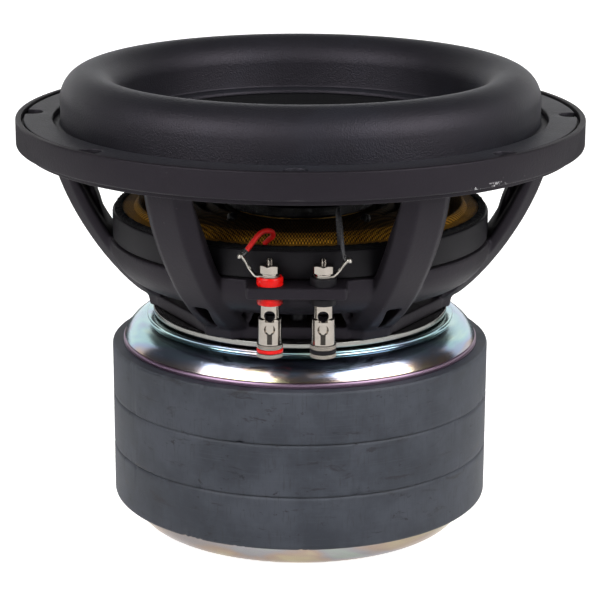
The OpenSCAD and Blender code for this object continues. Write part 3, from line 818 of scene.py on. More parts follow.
ARMS = 6
ARM_FOOT_Z = -87.9
ARM_TOP_R = 142.8
ARM_FOOT_R = 88.3
ARM_FLAT = 8.5  # half width of an arm's flat outer face
ARM_BEVEL = 7
ARM_ROOT = 7  # radius of the fillet between arm and flange
RIB_HALF = 4
RIB_LIP = 6.2  # half width of the lip along a rib's inner edge
NECK_R = 83.5
NECK_WALL = 5
SHELF_Z = low_of("collar_top_front_red")
SHELF_R = 109.5
SHELF_IN_R = 98
SHELF_T = 4
BOWL_WALL = 4.5
BOWL_LOW = -77
FLOOR_R = 50
FLOOR_TOP = BASKET_LOW + 7.4
WINDOW_TOP_HALF = 23.3
WINDOW_LOW_HALF = 27.6
WINDOW_TOP = -77.5
TAB_HALF = 26.9
TAB_Y = 124
TAB_T = 6.5
POST_X = 14.2
POST_Y = 115.8
COLLAR_NECK_R = 4.9


def flange():
    """The ring that bolts to the baffle, with its rim, groove and landing."""
    outline = rounded(
        [
            (FLANGE_IN_R, 0, 1.0),
            (SEAT_R, 0, 0.5),
            (SEAT_R, SIDE_Z, 0.4),
            (FLANGE_R, SIDE_Z, 1.1),
            (FLANGE_R, RIM_TOP, 1.1),
            (FLANGE_R - RIM_W, RIM_TOP, 0.7),
            (FLANGE_R - RIM_W, FLANGE_FLOOR, 0.5),
            (LANDING_R, FLANGE_FLOOR, 0.3),
            (LANDING_R, LANDING_Z, 0.2),
            (FLANGE_IN_R, LANDING_Z, 0.6),
        ]
    )
    ring = lathe("flange", outline, coat, 360)
    holes = []
    for b in range(BOLTS):
        x, y, _ = around(BOLT_CIRCLE, 360 * b / BOLTS, 0)
        holes.append(prism("hole", disc(BOLT_HOLE, (x, y)), -5, RIM_TOP + 5))
    cut(ring, holes)
    return place(ring, "frame", "powder_coat", "basket")


def arm_radius(t):
    """Radius of an arm's outer face, from t = 0 under the flange to t = 1 at its foot."""
    return ARM_FOOT_R + (ARM_TOP_R - ARM_FOOT_R) * (1 - t ** 1.5) ** 0.8


def arm_depth(t):
    """Depth of an arm, which is thin where it leaves the flange."""
    return 7.5 + 5.3 * eased(t, -0.05, 0.33) + 2.2 * t


def rib_reach(t):
    """Depth of the arm and the web behind it. The web runs out above the shelf."""
    return max(arm_depth(t) - 1, 14.2 + 3.2 * eased(t, 0, 0.3) - 3.9 * eased(t, 0.3, 0.57))


def arm_levels():
    """Heights of an arm's sections, close together where it flares or turns fast."""
    near_top = [0.8 * k for k in range(-2, 12)]
    rest = [9.5 + (-ARM_FOOT_Z - 9.5) * (k / 30) ** 0.9 for k in range(1, 31)]
    return [-z for z in near_top + rest] + [BASKET_LOW]


def arm(azimuth):
    """One bevelled arm, flared where it grows out of the flange."""
    points = []
    levels = arm_levels()
    for z in levels:
        t = min(1.0, max(0.0, z / ARM_FOOT_Z))
        outer = arm_radius(t) - (1.3 if z == BASKET_LOW else 0)
        inner = max(NECK_R - NECK_WALL, outer - arm_depth(t))
        rise = max(0.0, 1 - max(0.0, -z) / ARM_ROOT)
        flare = ARM_ROOT * (1 - math.sqrt(max(0.0, 1 - rise * rise)))
        flat = ARM_FLAT + 0.6 * flare
        half = ARM_FLAT + ARM_BEVEL + flare
        bevel = ARM_BEVEL
        section = [
            (inner, -half + 1.5),
            (inner + 1.5, -half),
            (outer - bevel, -half),
            (outer, -flat),
            (outer, flat),
            (outer - bevel, half),
            (inner + 1.5, half),
            (inner, half - 1.5),
        ]
        points += [beside(r, side, azimuth, z) for r, side in section]
    return make("arm", points, capped_faces(points, len(section)), coat)


def arm_rib(azimuth):
    """The web behind an arm's upper half, with a lip along its inner edge."""
    levels = [1.5 - 56 * k / 24 for k in range(25)]
    parts = []
    for half, thin in ((RIB_HALF, 0), (RIB_LIP, 1)):
        points = []
        for z in levels:
            t = max(0.0, z / ARM_FOOT_Z)
            inner = arm_radius(t) - rib_reach(t)
            outer = inner + 1.8 if thin else arm_radius(t) - ARM_BEVEL
            section = ((inner, -half), (outer, -half), (outer, half), (inner, half))
            points += [beside(r, side, azimuth, z) for r, side in section]
        parts.append(make("rib", points, capped_faces(points, 4), coat))
    return parts


def bowl():
    """The round bottom of the basket: spider shelf, bowl, neck and floor."""
    shelf_low = SHELF_Z - SHELF_T

    def wall(foot_r, foot_z, top_r, degrees):
        turns = [math.radians(d) for d in degrees]
        across, deep = top_r - foot_r, shelf_low - foot_z
        return [(foot_r + across * math.cos(a), shelf_low - deep * math.sin(a)) for a in turns]

    in_r = NECK_R - NECK_WALL
    outer = wall(NECK_R, BOWL_LOW, SHELF_R, [90 * k / 12 for k in range(13)])
    inner_degrees = [90 - 90 * k / 12 for k in range(13)]
    inner = wall(in_r, BOWL_LOW + BOWL_WALL, SHELF_R - BOWL_WALL, inner_degrees)
    outline = [(SHELF_IN_R, SHELF_Z), (SHELF_R, SHELF_Z), *outer]
    outline += [(NECK_R, BASKET_LOW), (FLOOR_R, BASKET_LOW), (FLOOR_R, FLOOR_TOP), (in_r, FLOOR_TOP)]
    outline += [*inner, (SHELF_IN_R, shelf_low)]
    return lathe("bowl", outline, coat, 180)


def terminal_tab(azimuth):
    """The plate in front of the shelf that carries two terminals."""
    near = BOWL_WALL - SHELF_R
    outline = [(-TAB_HALF, -TAB_Y), (TAB_HALF, -TAB_Y), (TAB_HALF, near), (-TAB_HALF, near)]
    return shift(prism("tab", outline, SHELF_Z - TAB_T, SHELF_Z), turn="Z", degrees=azimuth)


def radial_cutter(outline, near, far, azimuth):
    """Cutter of an outline of (side, z), from one distance in front of the axis to another."""
    tool = shift(prism("cutter", outline, near, far), turn="X", degrees=90)
    return shift(tool, turn="Z", degrees=azimuth)


def neck_window(azimuth):
    """Cutter for the opening through the neck between two arms, with rounded top corners."""
    corners = [
        (-WINDOW_LOW_HALF, FLOOR_TOP, 0),
        (WINDOW_LOW_HALF, FLOOR_TOP, 0),
        (WINDOW_TOP_HALF, WINDOW_TOP, 2.5),
        (-WINDOW_TOP_HALF, WINDOW_TOP, 2.5),
    ]
    return radial_cutter(rounded(corners), NECK_R - 4 * NECK_WALL, NECK_R + 4 * NECK_WALL, azimuth)


def window_foot(azimuth):
    """Cutter that opens the neck's wall below a window, down to the bottom face."""
    half = WINDOW_LOW_HALF + 0.4
    low, high = BASKET_LOW - 5, FLOOR_TOP + 1
    outline = [(-half, low), (half, low), (half - 0.4, high), (0.4 - half, high)]
    return radial_cutter(outline, NECK_R - NECK_WALL, NECK_R + 4 * NECK_WALL, azimuth)


def leg_slot(azimuth):
    """Cutter for the three-sided slot between an arm's two legs."""
    top, low = -72.5, -87
    corners = [(-5, top, 0.8), (5, top, 0.8), (1, low, 0.4), (-1, low, 0.4)]
    return radial_cutter(rounded(corners), 60, 130, azimuth)


def casting():
    """Arms, bowl, neck and terminal tabs, cast in one with the flange."""
    parts = [bowl()]
    root_in, root_out, root_low, root_top = FLANGE_IN_R + 1, SEAT_R - 1, 0.15, 3
    root = [(root_in, root_low), (root_out, root_low), (root_out, root_top), (root_in, root_top)]
    parts.append(lathe("root", root, coat, 180))
    for k in range(ARMS):
        azimuth = 360 / ARMS * (k + 0.5)
        parts += [arm(azimuth), *arm_rib(azimuth)]
    for azimuth in (0, 180):
        parts.append(terminal_tab(azimuth))
    whole = joined("basket_casting", parts)
    fuse(whole, 1.0, 0)
    whole.data.materials.clear()
    whole.data.materials.append(coat)
    cutters = [neck_window(360 / ARMS * k) for k in range(ARMS)]
    cutters += [leg_slot(360 / ARMS * (k + 0.5)) for k in range(ARMS)]
    cut(whole, cutters)
    cut(whole, [window_foot(360 / ARMS * k) for k in range(ARMS)])
    holes = []
    for azimuth in (0, 180):
        for side in (-POST_X, POST_X):
            hole = prism("hole", disc(COLLAR_NECK_R, (side, -POST_Y)), SHELF_Z - 12, SHELF_Z + 5)
            holes.append(shift(hole, turn="Z", degrees=azimuth))
    cut(whole, holes)
    fuse(whole, 0.8, 2)
    shade(whole, coat, 0)
    return place(whole, "frame", "powder_coat", "basket")


flange()
casting()


def gasket():
    """Rubber ring on the flange, with a U-shaped notch at each screw."""
    out_r = outer_radius("flange_gasket")
    in_r, notch_half, notch_in = 141.0, 6.8, 147.5
    low, high = FLANGE_FLOOR + 0.02, top_of("flange_gasket")
    notch_mid = notch_in + notch_half
    notch_span = math.degrees(math.asin(notch_half / out_r))
    azimuths = []
    for b in range(BOLTS):
        mid = 360 * b / BOLTS
        inside = [notch_span * math.sin(math.radians(90 * k / 10)) for k in range(-10, 11)]
        azimuths += [mid + a for a in inside]
        left, right = mid + notch_span * 1.001, mid + 360 / BOLTS - notch_span * 1.001
        azimuths += [left + (right - left) * k / 36 for k in range(37)]
    points = []
    for azimuth in azimuths:
        off = (azimuth + 180 / BOLTS) % (360 / BOLTS) - 180 / BOLTS
        side = math.sin(math.radians(off)) * out_r
        edge = out_r
        if abs(off) <= notch_span:
            edge = notch_mid - math.sqrt(max(0.0, notch_half ** 2 - side * side))
        corners = [(in_r, low, 0.1), (edge, low, 0.1), (edge, high, 0.7), (in_r, high, 0.9)]
        points += [around(r, azimuth, z) for r, z in rounded(corners, 4)]
    rows = len(azimuths)
    ring = make("gasket", points, grid_faces(rows, len(points) // rows), gasket_rubber, 50)
    return place(ring, "frame", "pebbled_rubber", "flange_gasket")


gasket()

# ---------------------------------------------------------------------------------------------
# Cone, surround and spiders
# ---------------------------------------------------------------------------------------------

ROLL_IN, ROLL_OUT = 103.3, 136.7
CREST = top_of("surround")
RUBBER = 1.8
LIP_Z = 12.3
LIP_IN = 94
NECK_Z = -28
FORMER_R = 38.9


def surround():
    """Tall half-roll of rubber with a flat glued edge inside and outside."""
    mid_r, half = (ROLL_IN + ROLL_OUT) / 2, (ROLL_OUT - ROLL_IN) / 2
    mid = (mid_r, CREST - half)
    edge_low, edge_top = LANDING_Z + 0.02, LANDING_Z + RUBBER - 0.2
    outline = [(LANDING_R - 0.05, edge_low), (LANDING_R - 0.05, edge_top - 0.4), (LANDING_R - 0.5, edge_top)]
    outline += arc((ROLL_OUT + 1.6, edge_top + 1.6), 1.6, 270, 180, 5)
    outline += arc(mid, half, 0, 180, 48)[1:-1]
    outline += arc((ROLL_IN - 1.4, LIP_Z + RUBBER + 1.4), 1.4, 0, -90, 5)
    outline += [(LIP_IN + 0.5, LIP_Z + RUBBER), (LIP_IN, LIP_Z + RUBBER - 0.5), (LIP_IN, LIP_Z + 0.02)]
    outline += [(ROLL_IN + RUBBER, LIP_Z + 0.02)]
    outline += arc(mid, half - RUBBER, 180, 0, 36)
    outline += [(ROLL_OUT - RUBBER, edge_low)]
    roll = lathe("surround_roll", outline, surround_rubber, 360, 45)

    def share(p):
        return 1 - eased(math.hypot(p.x, p.y), LIP_IN + 8, ROLL_OUT + 2)

    return flex(roll, "surround", share)


def glue_knot(x, y, z):
    """Blob of glue where a lead is stitched into the spider."""

    def lumpy(azimuth, r, height):
        lump = noise.noise(Vector(around(r + 3, azimuth, height + x)) * 0.45)
        return r * (1 + 0.45 * lump), height * (1 + 0.3 * lump)

    outline = [(0, -1.5), (2.2, -1.5), (3.0, -0.5), (3.1, 0.6)]
    outline += [(2.5, 1.8), (1.6, 2.6), (0.7, 3.0), (0, 3.1)]
    return shift(lathe("knot", outline, glue, 40, 80, lumpy), (x, y, z))


def spider(name, node, glued_z):
    """Corrugated cloth ring that centres the voice coil."""
    flat_r, neck_flat, neck_r, edge_r, thick = 96, 44, 39.2, 107, 0.8
    wave, rolls, per_roll = 3.2, 5, 16
    count = rolls * per_roll

    def rise(r):
        if r > flat_r or r < neck_flat:
            return 0.0
        return wave * math.sin(math.tau * rolls * (flat_r - r) / (flat_r - neck_flat))

    radii = [neck_r, 42] + [neck_flat + (flat_r - neck_flat) * k / count for k in range(count + 1)]
    radii += [100, edge_r]
    line = [(r, glued_z + rise(r)) for r in radii]
    outline = [(r, z + 0.02) for r, z in line] + [(r, z + thick - 0.02) for r, z in reversed(line)]
    ring = lathe(name, outline, cloth, ROUND, 60)
    if node == "spider_upper":
        spots = [(x, y) for x in (-37, 37) for y in (-49, 49)]
        knots = [glue_knot(x, y, glued_z + rise(math.hypot(x, y)) + thick) for x, y in spots]
        ring = joined(name, [ring, *knots])

    def share(p):
        return 1 - eased(math.hypot(p.x, p.y), neck_flat, flat_r)

    return flex(ring, node, share)


def cone():
    """Deep paper cone with a flat lip under the surround."""
    outline = [(ROLL_IN, LIP_Z), (LIP_IN + 1, LIP_Z), (LIP_IN - 0.8, LIP_Z - 0.6), (LIP_IN - 2, LIP_Z - 1.8)]
    top = outline[-1]
    wall = []
    for k in range(1, 13):
        t = k / 12
        sag = 1.6 * math.sin(math.pi * t)
        wall.append((top[0] + (FORMER_R + 0.02 - top[0]) * t, top[1] + (NECK_Z - top[1]) * t - sag))
    outline += wall
    under = [(r + 1.0, z - 2.0) for r, z in reversed(wall)]
    outline += [(FORMER_R + 0.02, NECK_Z - 2.2), *under[1:]]
    outline += [(LIP_IN + 1, LIP_Z - 1.6), (ROLL_IN, LIP_Z - 1.6)]
    shell = lathe("cone_paper", outline, pulp, ROUND, 50)
    return place(shell, "cone_assembly", "cone_paper", "cone")


def dust_cap():
    """Domed cap with the bead of glue at its rim."""
    cap_r, base, rise, thick = 58, -12.8, 14, 1.0
    steps = 28
    top = [(cap_r * k / steps, base + rise * (1 - (k / steps) ** 2)) for k in range(steps + 1)]
    under = [(r * 0.985, z - thick) for r, z in reversed(top)]
    cap = lathe("dust_cap_shell", [*top, *under], pulp, ROUND, 50)
    bead_mid = (cap_r + 0.3, base + 0.5)

    def lumpy(azimuth, r, z):
        lump = noise.noise(Vector(around(r, azimuth, z)) * 0.12)
        return r + 0.35 * lump, z + 0.25 * lump

    bead = lathe("bead", arc(bead_mid, 1.5, 0, 345, 15), glue, ROUND, 60, lumpy)
    whole = joined("dust_cap_glued", [cap, bead])
    return place(whole, "cone_assembly", "cone_paper", "dust_cap")


def neck_glue():
    """Lumpy fillet of glue between cone, spider and former."""
    low, high = low_of("cone_neck_glue"), top_of("cone_neck_glue")
    out_r = outer_radius("cone_neck_glue")

    def lumpy(azimuth, r, z):
        lump = noise.noise(Vector(around(r, azimuth, z)) * 0.2)
        return r + (0.5 * lump - 0.5 if r > FORMER_R + 0.5 else 0), z

    corners = [
        (FORMER_R + 0.02, low + 0.1, 0.1),
        (out_r - 0.4, low + 0.3, 1.0),
        (out_r - 1.4, high - 0.5, 1.2),
        (FORMER_R + 0.02, high - 0.1, 0.2),
    ]
    bead = lathe("neck_glue_bead", rounded(corners), glue, 192, 60, lumpy)
    return place(bead, "cone_assembly", "black_glue", "cone_neck_glue")


def spacer():
    """Plastic ring that holds the upper spider above the lower one."""
    low, high = low_of("spider_spacer"), top_of("spider_spacer")
    out_r = outer_radius("spider_spacer")
    corners = [(99, low + 0.02, 0.2), (out_r, low + 0.02, 0.8), (out_r, high, 1.4), (99, high, 0.5)]
    ring = lathe("spacer_ring", rounded(corners), black_plastic)
    return place(ring, "frame", "black_plastic", "spider_spacer")


def spider_glue():
    """Bead of black cement over the upper spider's edge."""
    low, high = low_of("spider_glue") + 0.05, top_of("spider_glue")

    def lumpy(azimuth, r, z):
        lump = noise.noise(Vector(around(r, azimuth, z)) * 0.35)
        fine = noise.noise(Vector(around(r, azimuth, z)) * 1.1)
        if z > low + 0.3:
            return r + 0.5 * lump, z + 0.5 * lump + 0.4 * fine
        return r, z

    corners = [(102.4, low, 0.2), (107, low, 0.2), (106.4, high, 0.6), (103.4, high, 0.6)]
    outline = rounded(corners, 4)
    top = [(106 - 0.5 * k, high + 0.2 * math.sin(math.pi * k / 5)) for k in range(1, 5)]
    cut_at = next(i for i, p in enumerate(outline) if p[0] < 104.5 and p[1] > low + 0.5)
    outline = outline[:cut_at] + top + outline[cut_at:]
    bead = lathe("spider_glue_bead", outline, dull_glue, 720, 60, lumpy)
    return place(bead, "frame", "black_glue", "spider_glue")


surround()
spider("upper_spider", "spider_upper", top_of("spider_spacer"))
spider("lower_spider", "spider_lower", SHELF_Z)
cone()
dust_cap()
neck_glue()
spacer()
spider_glue()

# ---------------------------------------------------------------------------------------------
# Motor
# ---------------------------------------------------------------------------------------------


def magnet(node, seed):
    """Ferrite ring with ground chamfers and small chips along its edges."""
    low, high, out_r = low_of(node), top_of(node), outer_radius(node)
    bore = 55
    chamfer = 0.9
    outline = [(bore, low + 0.05), (out_r - chamfer, low + 0.05), (out_r - 0.2, low + chamfer * 0.8)]
    outline += [(out_r, low + 1.4), (out_r, low + 3), (out_r, (low + high) / 2), (out_r, high - 3)]
    outline += [(out_r, high - 1.4), (out_r - 0.2, high - chamfer * 0.8), (out_r - chamfer, high - 0.05)]
    outline += [(out_r - 4, high - 0.05), (bore, high - 0.05)]

    def chipped(azimuth, r, z):
        near_edge = min(z - low, high - z) < 1.6 and r > out_r - 2
        if not near_edge:
            return r, z
        spot = Vector(around(r, azimuth, z))
        chip = noise.noise(spot * 0.11 + Vector((seed, 0, 0))) + 0.5 * noise.noise(spot * 0.5)
        depth = max(0.0, chip - 0.42) * 2.2
        return r - min(depth, 0.8), z + (depth * 0.3 if z < (low + high) / 2 else -depth * 0.3)

    ring = lathe(node + "_ferrite", outline, magnet_ferrite, 720, 35, chipped)
    return place(ring, "frame", "ferrite", node)


def top_plate():
    """Front plate of the motor: a flat boss, a domed shoulder and a grooved lip."""
    top, low = top_of("top_plate"), low_of("top_plate")
    boss_r, boss_low, dome_r, dome_low = 89.1, -100.6, outer_radius("top_plate") - 0.8, -111.5
    lip_r = outer_radius("top_plate")
    gap_r = 43.2
    span, steps = math.radians(52), 28
    wide = (dome_r - boss_r - 0.3) / math.sin(span)
    tall = (boss_low - dome_low) / (1 - math.cos(span))
    turns = [span * k / steps for k in range(steps + 1)]
    dome = [(boss_r + 0.3 + wide * math.sin(a), boss_low - tall * (1 - math.cos(a))) for a in turns]
    body = [(gap_r, low + 0.5), (gap_r, top - 0.3), (gap_r + 0.3, top), (boss_r - 0.8, top)]
    body += arc((boss_r - 0.6, top - 0.6), 0.6, 80, 0, 4)
    body += [(boss_r, boss_low + 0.3), *dome, (dome_r - 0.5, dome_low - 0.35), (dome_r - 0.5, low + 0.5)]
    plate = lathe("plate", body, dome_zinc, 360, 50)
    groove = dome_low - 0.35
    lip = [(dome_r - 2, low + 0.02), (lip_r - 0.15, low + 0.02), (lip_r, low + 0.3), (lip_r, low + 0.9)]
    lip += [(lip_r - 0.35, low + 1.1), (lip_r - 0.35, low + 1.3), (lip_r, low + 1.5), (lip_r, groove - 0.9)]
    lip += [(lip_r - 0.4, groove - 0.3), (dome_r - 0.2, groove - 0.1)]
    lip += [(dome_r - 0.6, groove - 0.3), (dome_r - 2, groove - 0.3)]
    rim = lathe("rim", lip, lip_zinc, 360, 30)
    whole = joined("top_plate_turned", [plate, rim])
    return place(whole, "frame", "zinc_steel", "top_plate")


def back_plate():
    """Rear plate and pole in one, with the vent through the pole."""
    top, low = low_of("magnet_lower"), low_of("back_plate_and_pole")
    plate_r, face_r = 99, 90
    pole_r, pole_top, vent_r, mouth_r, mouth_h = 36.6, -96.5, 14, 20, 8
    edge = quarter(face_r, low, plate_r, top - 1.2, 14)
    outline = [(vent_r, pole_top - 2), (vent_r + 2, pole_top - 0.6), (vent_r + 3, pole_top)]
    outline += [(pole_r - 1, pole_top), (pole_r, pole_top - 1), (pole_r, top), (plate_r - 0.3, top)]
    outline += [(plate_r, top - 0.3), *reversed(edge)]
    outline += [(mouth_r + 0.6, low), (mouth_r, low + 0.6), (mouth_r, low + mouth_h - 3)]
    outline += arc((mouth_r - 3, low + mouth_h - 3), 3, 0, 90, 5)[1:]
    outline += [(vent_r + 0.5, low + mouth_h), (vent_r, low + mouth_h + 0.5)]
    plate = lathe("back_plate_turned", outline, plate_zinc, 360, 40)
    return place(plate, "frame", "zinc_steel", "back_plate_and_pole")


def plain_ring(name, node, in_r, material, slot, radius, body="frame"):
    """A ring of square section with broken edges, at its CAD node's size."""
    low, high, out_r = low_of(node) + 0.02, top_of(node) - 0.02, outer_radius(node)
    corners = [(in_r, low, radius), (out_r, low, radius), (out_r, high, radius), (in_r, high, radius)]
    return place(lathe(name, rounded(corners, 4), material, 360), body, slot, node)


def screen():
    """Woven wire screen in the pole vent."""
    low, high = low_of("vent_screen"), top_of("vent_screen")
    mid, vent_r, pitch, wire = (low + high) / 2, 14.0, 1.4, 0.17
    wires = []
    count = int(vent_r / pitch)
    for across in (0, 1):
        for k in range(-count, count + 1):
            off = k * pitch
            reach = math.sqrt(max(0.0, (vent_r - 0.05) ** 2 - off * off))
            steps = max(4, int(reach * 2 / (pitch / 4)))
            path = []
            for s in range(steps + 1):
                along = -reach + 2 * reach * s / steps
                over = math.cos(math.pi * (along / pitch + k + across)) * wire
                path.append(Vector((off, along, mid + over) if across else (along, off, mid + over)))
            wires.append(tube("wire", path, wire, screen_black, 5, 60))
    ring_r = vent_r - 0.8
    corners = [(ring_r, low, 0.2), (vent_r, low, 0.2), (vent_r, high, 0.2), (ring_r, high, 0.2)]
    frame_ring = lathe("ring", rounded(corners, 2), screen_black, 64)
    whole = joined("vent_screen_wire", [*wires, frame_ring])
    return place(whole, "frame", "black_mesh", "vent_screen")


def socket_screw(radius, grip, head_r, head_h, socket_r, material):
    """Cap screw, head up, with its seat at height 0."""
    outline = [(0, -grip), (radius - 0.5, -grip), (radius, -grip + 0.5), (radius, 0), (head_r - 0.2, 0)]
    outline += [(head_r, 0.2), (head_r, head_h - 0.6), (head_r - 0.5, head_h), (0, head_h)]
    screw = lathe("screw", outline, material, 40)
    hexagon = disc(socket_r, steps=6)
    cut(screw, [prism("key", hexagon, head_h - 3, head_h + 2, material)])
    return screw


def motor_screws():
    """Six cap screws through the basket's floor into the top plate."""
    low, high = low_of("motor_bolts"), top_of("motor_bolts")
    head_h = high - FLOOR_TOP
    count, circle_r = 6, 62
    screws = []
    for k in range(count):
        screw = socket_screw(3, FLOOR_TOP - low, 5, head_h, 2.6, oxide)
        screws.append(shift(screw, around(circle_r, 360 * k / count, FLOOR_TOP)))
    whole = joined("motor_screws", screws)
    return place(whole, "frame", "black_steel", "motor_bolts")


for number, node in enumerate(("magnet_lower", "magnet_middle", "magnet_upper")):
    magnet(node, 31 * number)
top_plate()
back_plate()
plain_ring("adapter", "adapter_ring", FLOOR_R, bright_steel, "bright_steel", 0.5)
plain_ring("foam_ring", "motor_gasket", FLOOR_R, foam, "black_foam", 0.1)
plain_ring("shorting_sleeve", "shorting_ring", 36.7, aluminium, "aluminium", 0.4)
plain_ring("former_tube", "coil_former", 38.1, foil, "coil_former", 0.1, "cone_assembly")
plain_ring("inner_coil", "winding_inner", FORMER_R + 0.02, copper, "copper_wire", 0.2, "cone_assembly")
plain_ring("outer_coil", "winding_outer", 40.22, copper, "copper_wire", 0.3, "cone_assembly")
screen()
motor_screws()

# ---------------------------------------------------------------------------------------------
# Terminals and leads
# ---------------------------------------------------------------------------------------------

POST_TOP = low_of("collar_low_front_red")
LUG_Z = top_of("collar_top_front_red")
WIRE_Z = next(m["pos_m"][2] for m in frame["record"]["mounts"] if m["kind"] == "bore") / MM
PUSH = 7.2  # travel of a sleeve
SLEEVE_R = 6.4
SLEEVE_BORE = 5.25
SLEEVE_TOP = top_of("sleeve_front_red")
SLEEVE_LOW = low_of("sleeve_front_red")
KNURL_TOP = SLEEVE_LOW + 7.4
KNURL_R = 7.15
KNURL_WAVE = 0.3
STUD_R = 2.0
LEAD_R = {"red": 1.4, "black": 1.1}
# The lead's way from the lug to the upper spider, for the red and the black one of the front pair
ROUTES = {
    "red": [(-29.4, -115, -37), (-26.2, -113, -34.1), (-22.8, -111, -30), (-20, -109, -26.8),
            (-16.7, -106.5, -25.6), (-13.6, -104, -26.6), (-13, -101.8, -29.6), (-15.6, -99.8, -32.4),
            (-17.6, -98.7, -34.6)],
    "black": [(27, -115, -40), (24.8, -113.6, -37), (24, -111, -31), (23.3, -107.5, -24),
              (22.4, -104, -17.5), (21.8, -100.5, -14.8), (21.5, -98, -19), (21.8, -97, -26),
              (22.3, -96.2, -32), (22.5, -96, -35.4)],
}
LUGS = {"red": (8.1, 8.3, 11.3), "black": (5.6, 8.8, 9.0)}  # flat length, run and rise of a lug's arm


def stand(piece, end, colour):
    """Moves a piece made on the Z axis to its terminal."""
    side = -1 if colour == "red" else 1
    shift(piece, (side * POST_X, -POST_Y, 0))
    return shift(piece, turn="Z", degrees=180) if end == "rear" else piece


def threaded(name, radius, low, high, pitch, depth, material):
    """A rod with a screw thread."""
    sides = 40
    rows = int((high - low) / (pitch / 6)) + 1
    points = []
    for i in range(rows):
        z = low + (high - low) * i / (rows - 1)
        lead_in = eased(high - z, 0, pitch) * 0.6 + 0.4
        for s in range(sides):
            phase = (z / pitch - s / sides) % 1
            r = radius - depth * (1 - abs(2 * phase - 1)) - (1 - lead_in) * 0.6
            points.append(around(r, 360 * s / sides, z))
    return make(name, points, capped_faces(points, sides), material, 60)


def terminal_post(end, colour):
    """Post of a push terminal: wire hole below, slotted threaded stud above."""
    node = f"post_{end}_{colour}"
    low, high = low_of(node), top_of(node)
    post_r, shank_r = 5.15, 1.95
    barrel = [(0, low + 0.02), (4.7, low + 0.02), (post_r, low + 0.4), (post_r, POST_TOP - 0.3)]
    barrel += [(4.9, POST_TOP - 0.02), (shank_r, POST_TOP - 0.02), (shank_r, LUG_Z), (0, LUG_Z)]
    body = lathe("barrel", barrel, nickel, 64)
    hole = prism("hole", disc(3.0, (0, 0)), -9, 9)
    shift(hole, (0, 0, WIRE_Z), "X", 90)
    cut(body, [hole])
    stud = threaded("stud", STUD_R, LUG_Z - 0.5, high, 0.7, 0.28, nickel)
    cut(stud, [prism("slot", oblong(0.4, 4), high - 1.4, high + 1)], 60)
    whole = joined(f"terminal_post_{end}_{colour}", [body, stud])
    stand(whole, end, colour)
    return place(whole, "frame", "nickel", node)


def shade_grooves(piece, picks):
    """Gives the faces whose centre, in millimetres, is picked a dark metal finish that paints shade into
    them.
    """
    piece.data.materials.append(tarnish)
    for face in piece.data.polygons:
        face.material_index = 1 if picks(face.center / MM) else 0


def knurl_rise(a, z):
    """Height of a diamond knurl at an angle and a height."""
    waves, slant = 17, 2.3
    one = abs(math.sin(waves * a + slant * z))
    two = abs(math.sin(waves * a - slant * z))
    return KNURL_WAVE * one + KNURL_WAVE * two


def knurled(low, high, radius, material):
    """A ring with a diamond knurl and a chamfer at each edge."""
    sides, rows = 272, 17
    points = []
    for i in range(rows):
        z = low + (high - low) * i / (rows - 1)
        edge = min(1.0, min(z - low, high - z) / 0.3)
        for s in range(sides):
            a = math.tau * s / sides
            r = radius - 2 * KNURL_WAVE + knurl_rise(a, z) * edge - 0.25 * (1 - edge)
            points.append(around(r, math.degrees(a), z))
    for z in (high, low):
        for s in range(sides):
            points.append(around(SLEEVE_BORE + 0.1, 360 * s / sides, z))
    ring = make("knurl", points, grid_faces(rows + 2, sides), material, 60)
    # Painted shade: the knurl's valleys take the dark metal.
    shade_grooves(ring, lambda c: knurl_rise(math.atan2(c.x, -c.y), c.z) < KNURL_WAVE)
    return ring


def push_sleeve(end, colour):
    """Spring-loaded sleeve with a keyhole, a wire notch and a knurled foot."""
    node = f"sleeve_{end}_{colour}"
    barrel = rounded(
        [
            (SLEEVE_BORE, KNURL_TOP - 3, 0),
            (SLEEVE_R, KNURL_TOP - 3, 0),
            (SLEEVE_R, SLEEVE_TOP, 0.35),
            (SLEEVE_BORE, SLEEVE_TOP, 0.25),
        ],
        3,
    )
    wall = lathe("wall", barrel, nickel, 72)
    keyhole = prism("hole", disc(3.0), -9, 0)
    shift(keyhole, (0, 0, WIRE_Z - PUSH), "X", -90)
    slot = prism("slot", disc(1.9, (0, -SLEEVE_R - 1.2), 24), KNURL_TOP + 0.6, WIRE_Z - PUSH)
    notch = prism("notch", oblong(2.4, 9), SLEEVE_TOP - 1.2, SLEEVE_TOP + 1)
    for cutter in (keyhole, slot, notch):
        cut(wall, [cutter])

    def in_groove(c):
        deep = SLEEVE_BORE + 0.2 < math.hypot(c.x, c.y) < SLEEVE_R - 0.06
        return deep and c.y < 0 and abs(c.x) < 1.75 and KNURL_TOP < c.z < WIRE_Z - PUSH

    # Painted shade: the groove under the keyhole takes the dark metal.
    shade_grooves(wall, in_groove)
    band_low, band_top = low_of(f"band_{end}_{colour}"), top_of(f"band_{end}_{colour}")
    upper = knurled(band_top, KNURL_TOP, KNURL_R, nickel)
    lower = knurled(SLEEVE_LOW, band_low, KNURL_R, nickel)
    core = [(0, SLEEVE_LOW + 0.25), (5.4, SLEEVE_LOW + 0.25), (6.2, SLEEVE_LOW + 0.02), (6.2, KNURL_TOP)]
    core += [(SLEEVE_BORE, KNURL_TOP), (SLEEVE_BORE, SLEEVE_LOW + 1.7), (0, SLEEVE_LOW + 1.7)]
    inside = lathe("inside", core, nickel, 72)
    whole = joined(f"push_sleeve_{end}_{colour}", [wall, upper, lower, inside])
    stand(whole, end, colour)
    return place(whole, f"push_{end}_{colour}", "nickel", node)


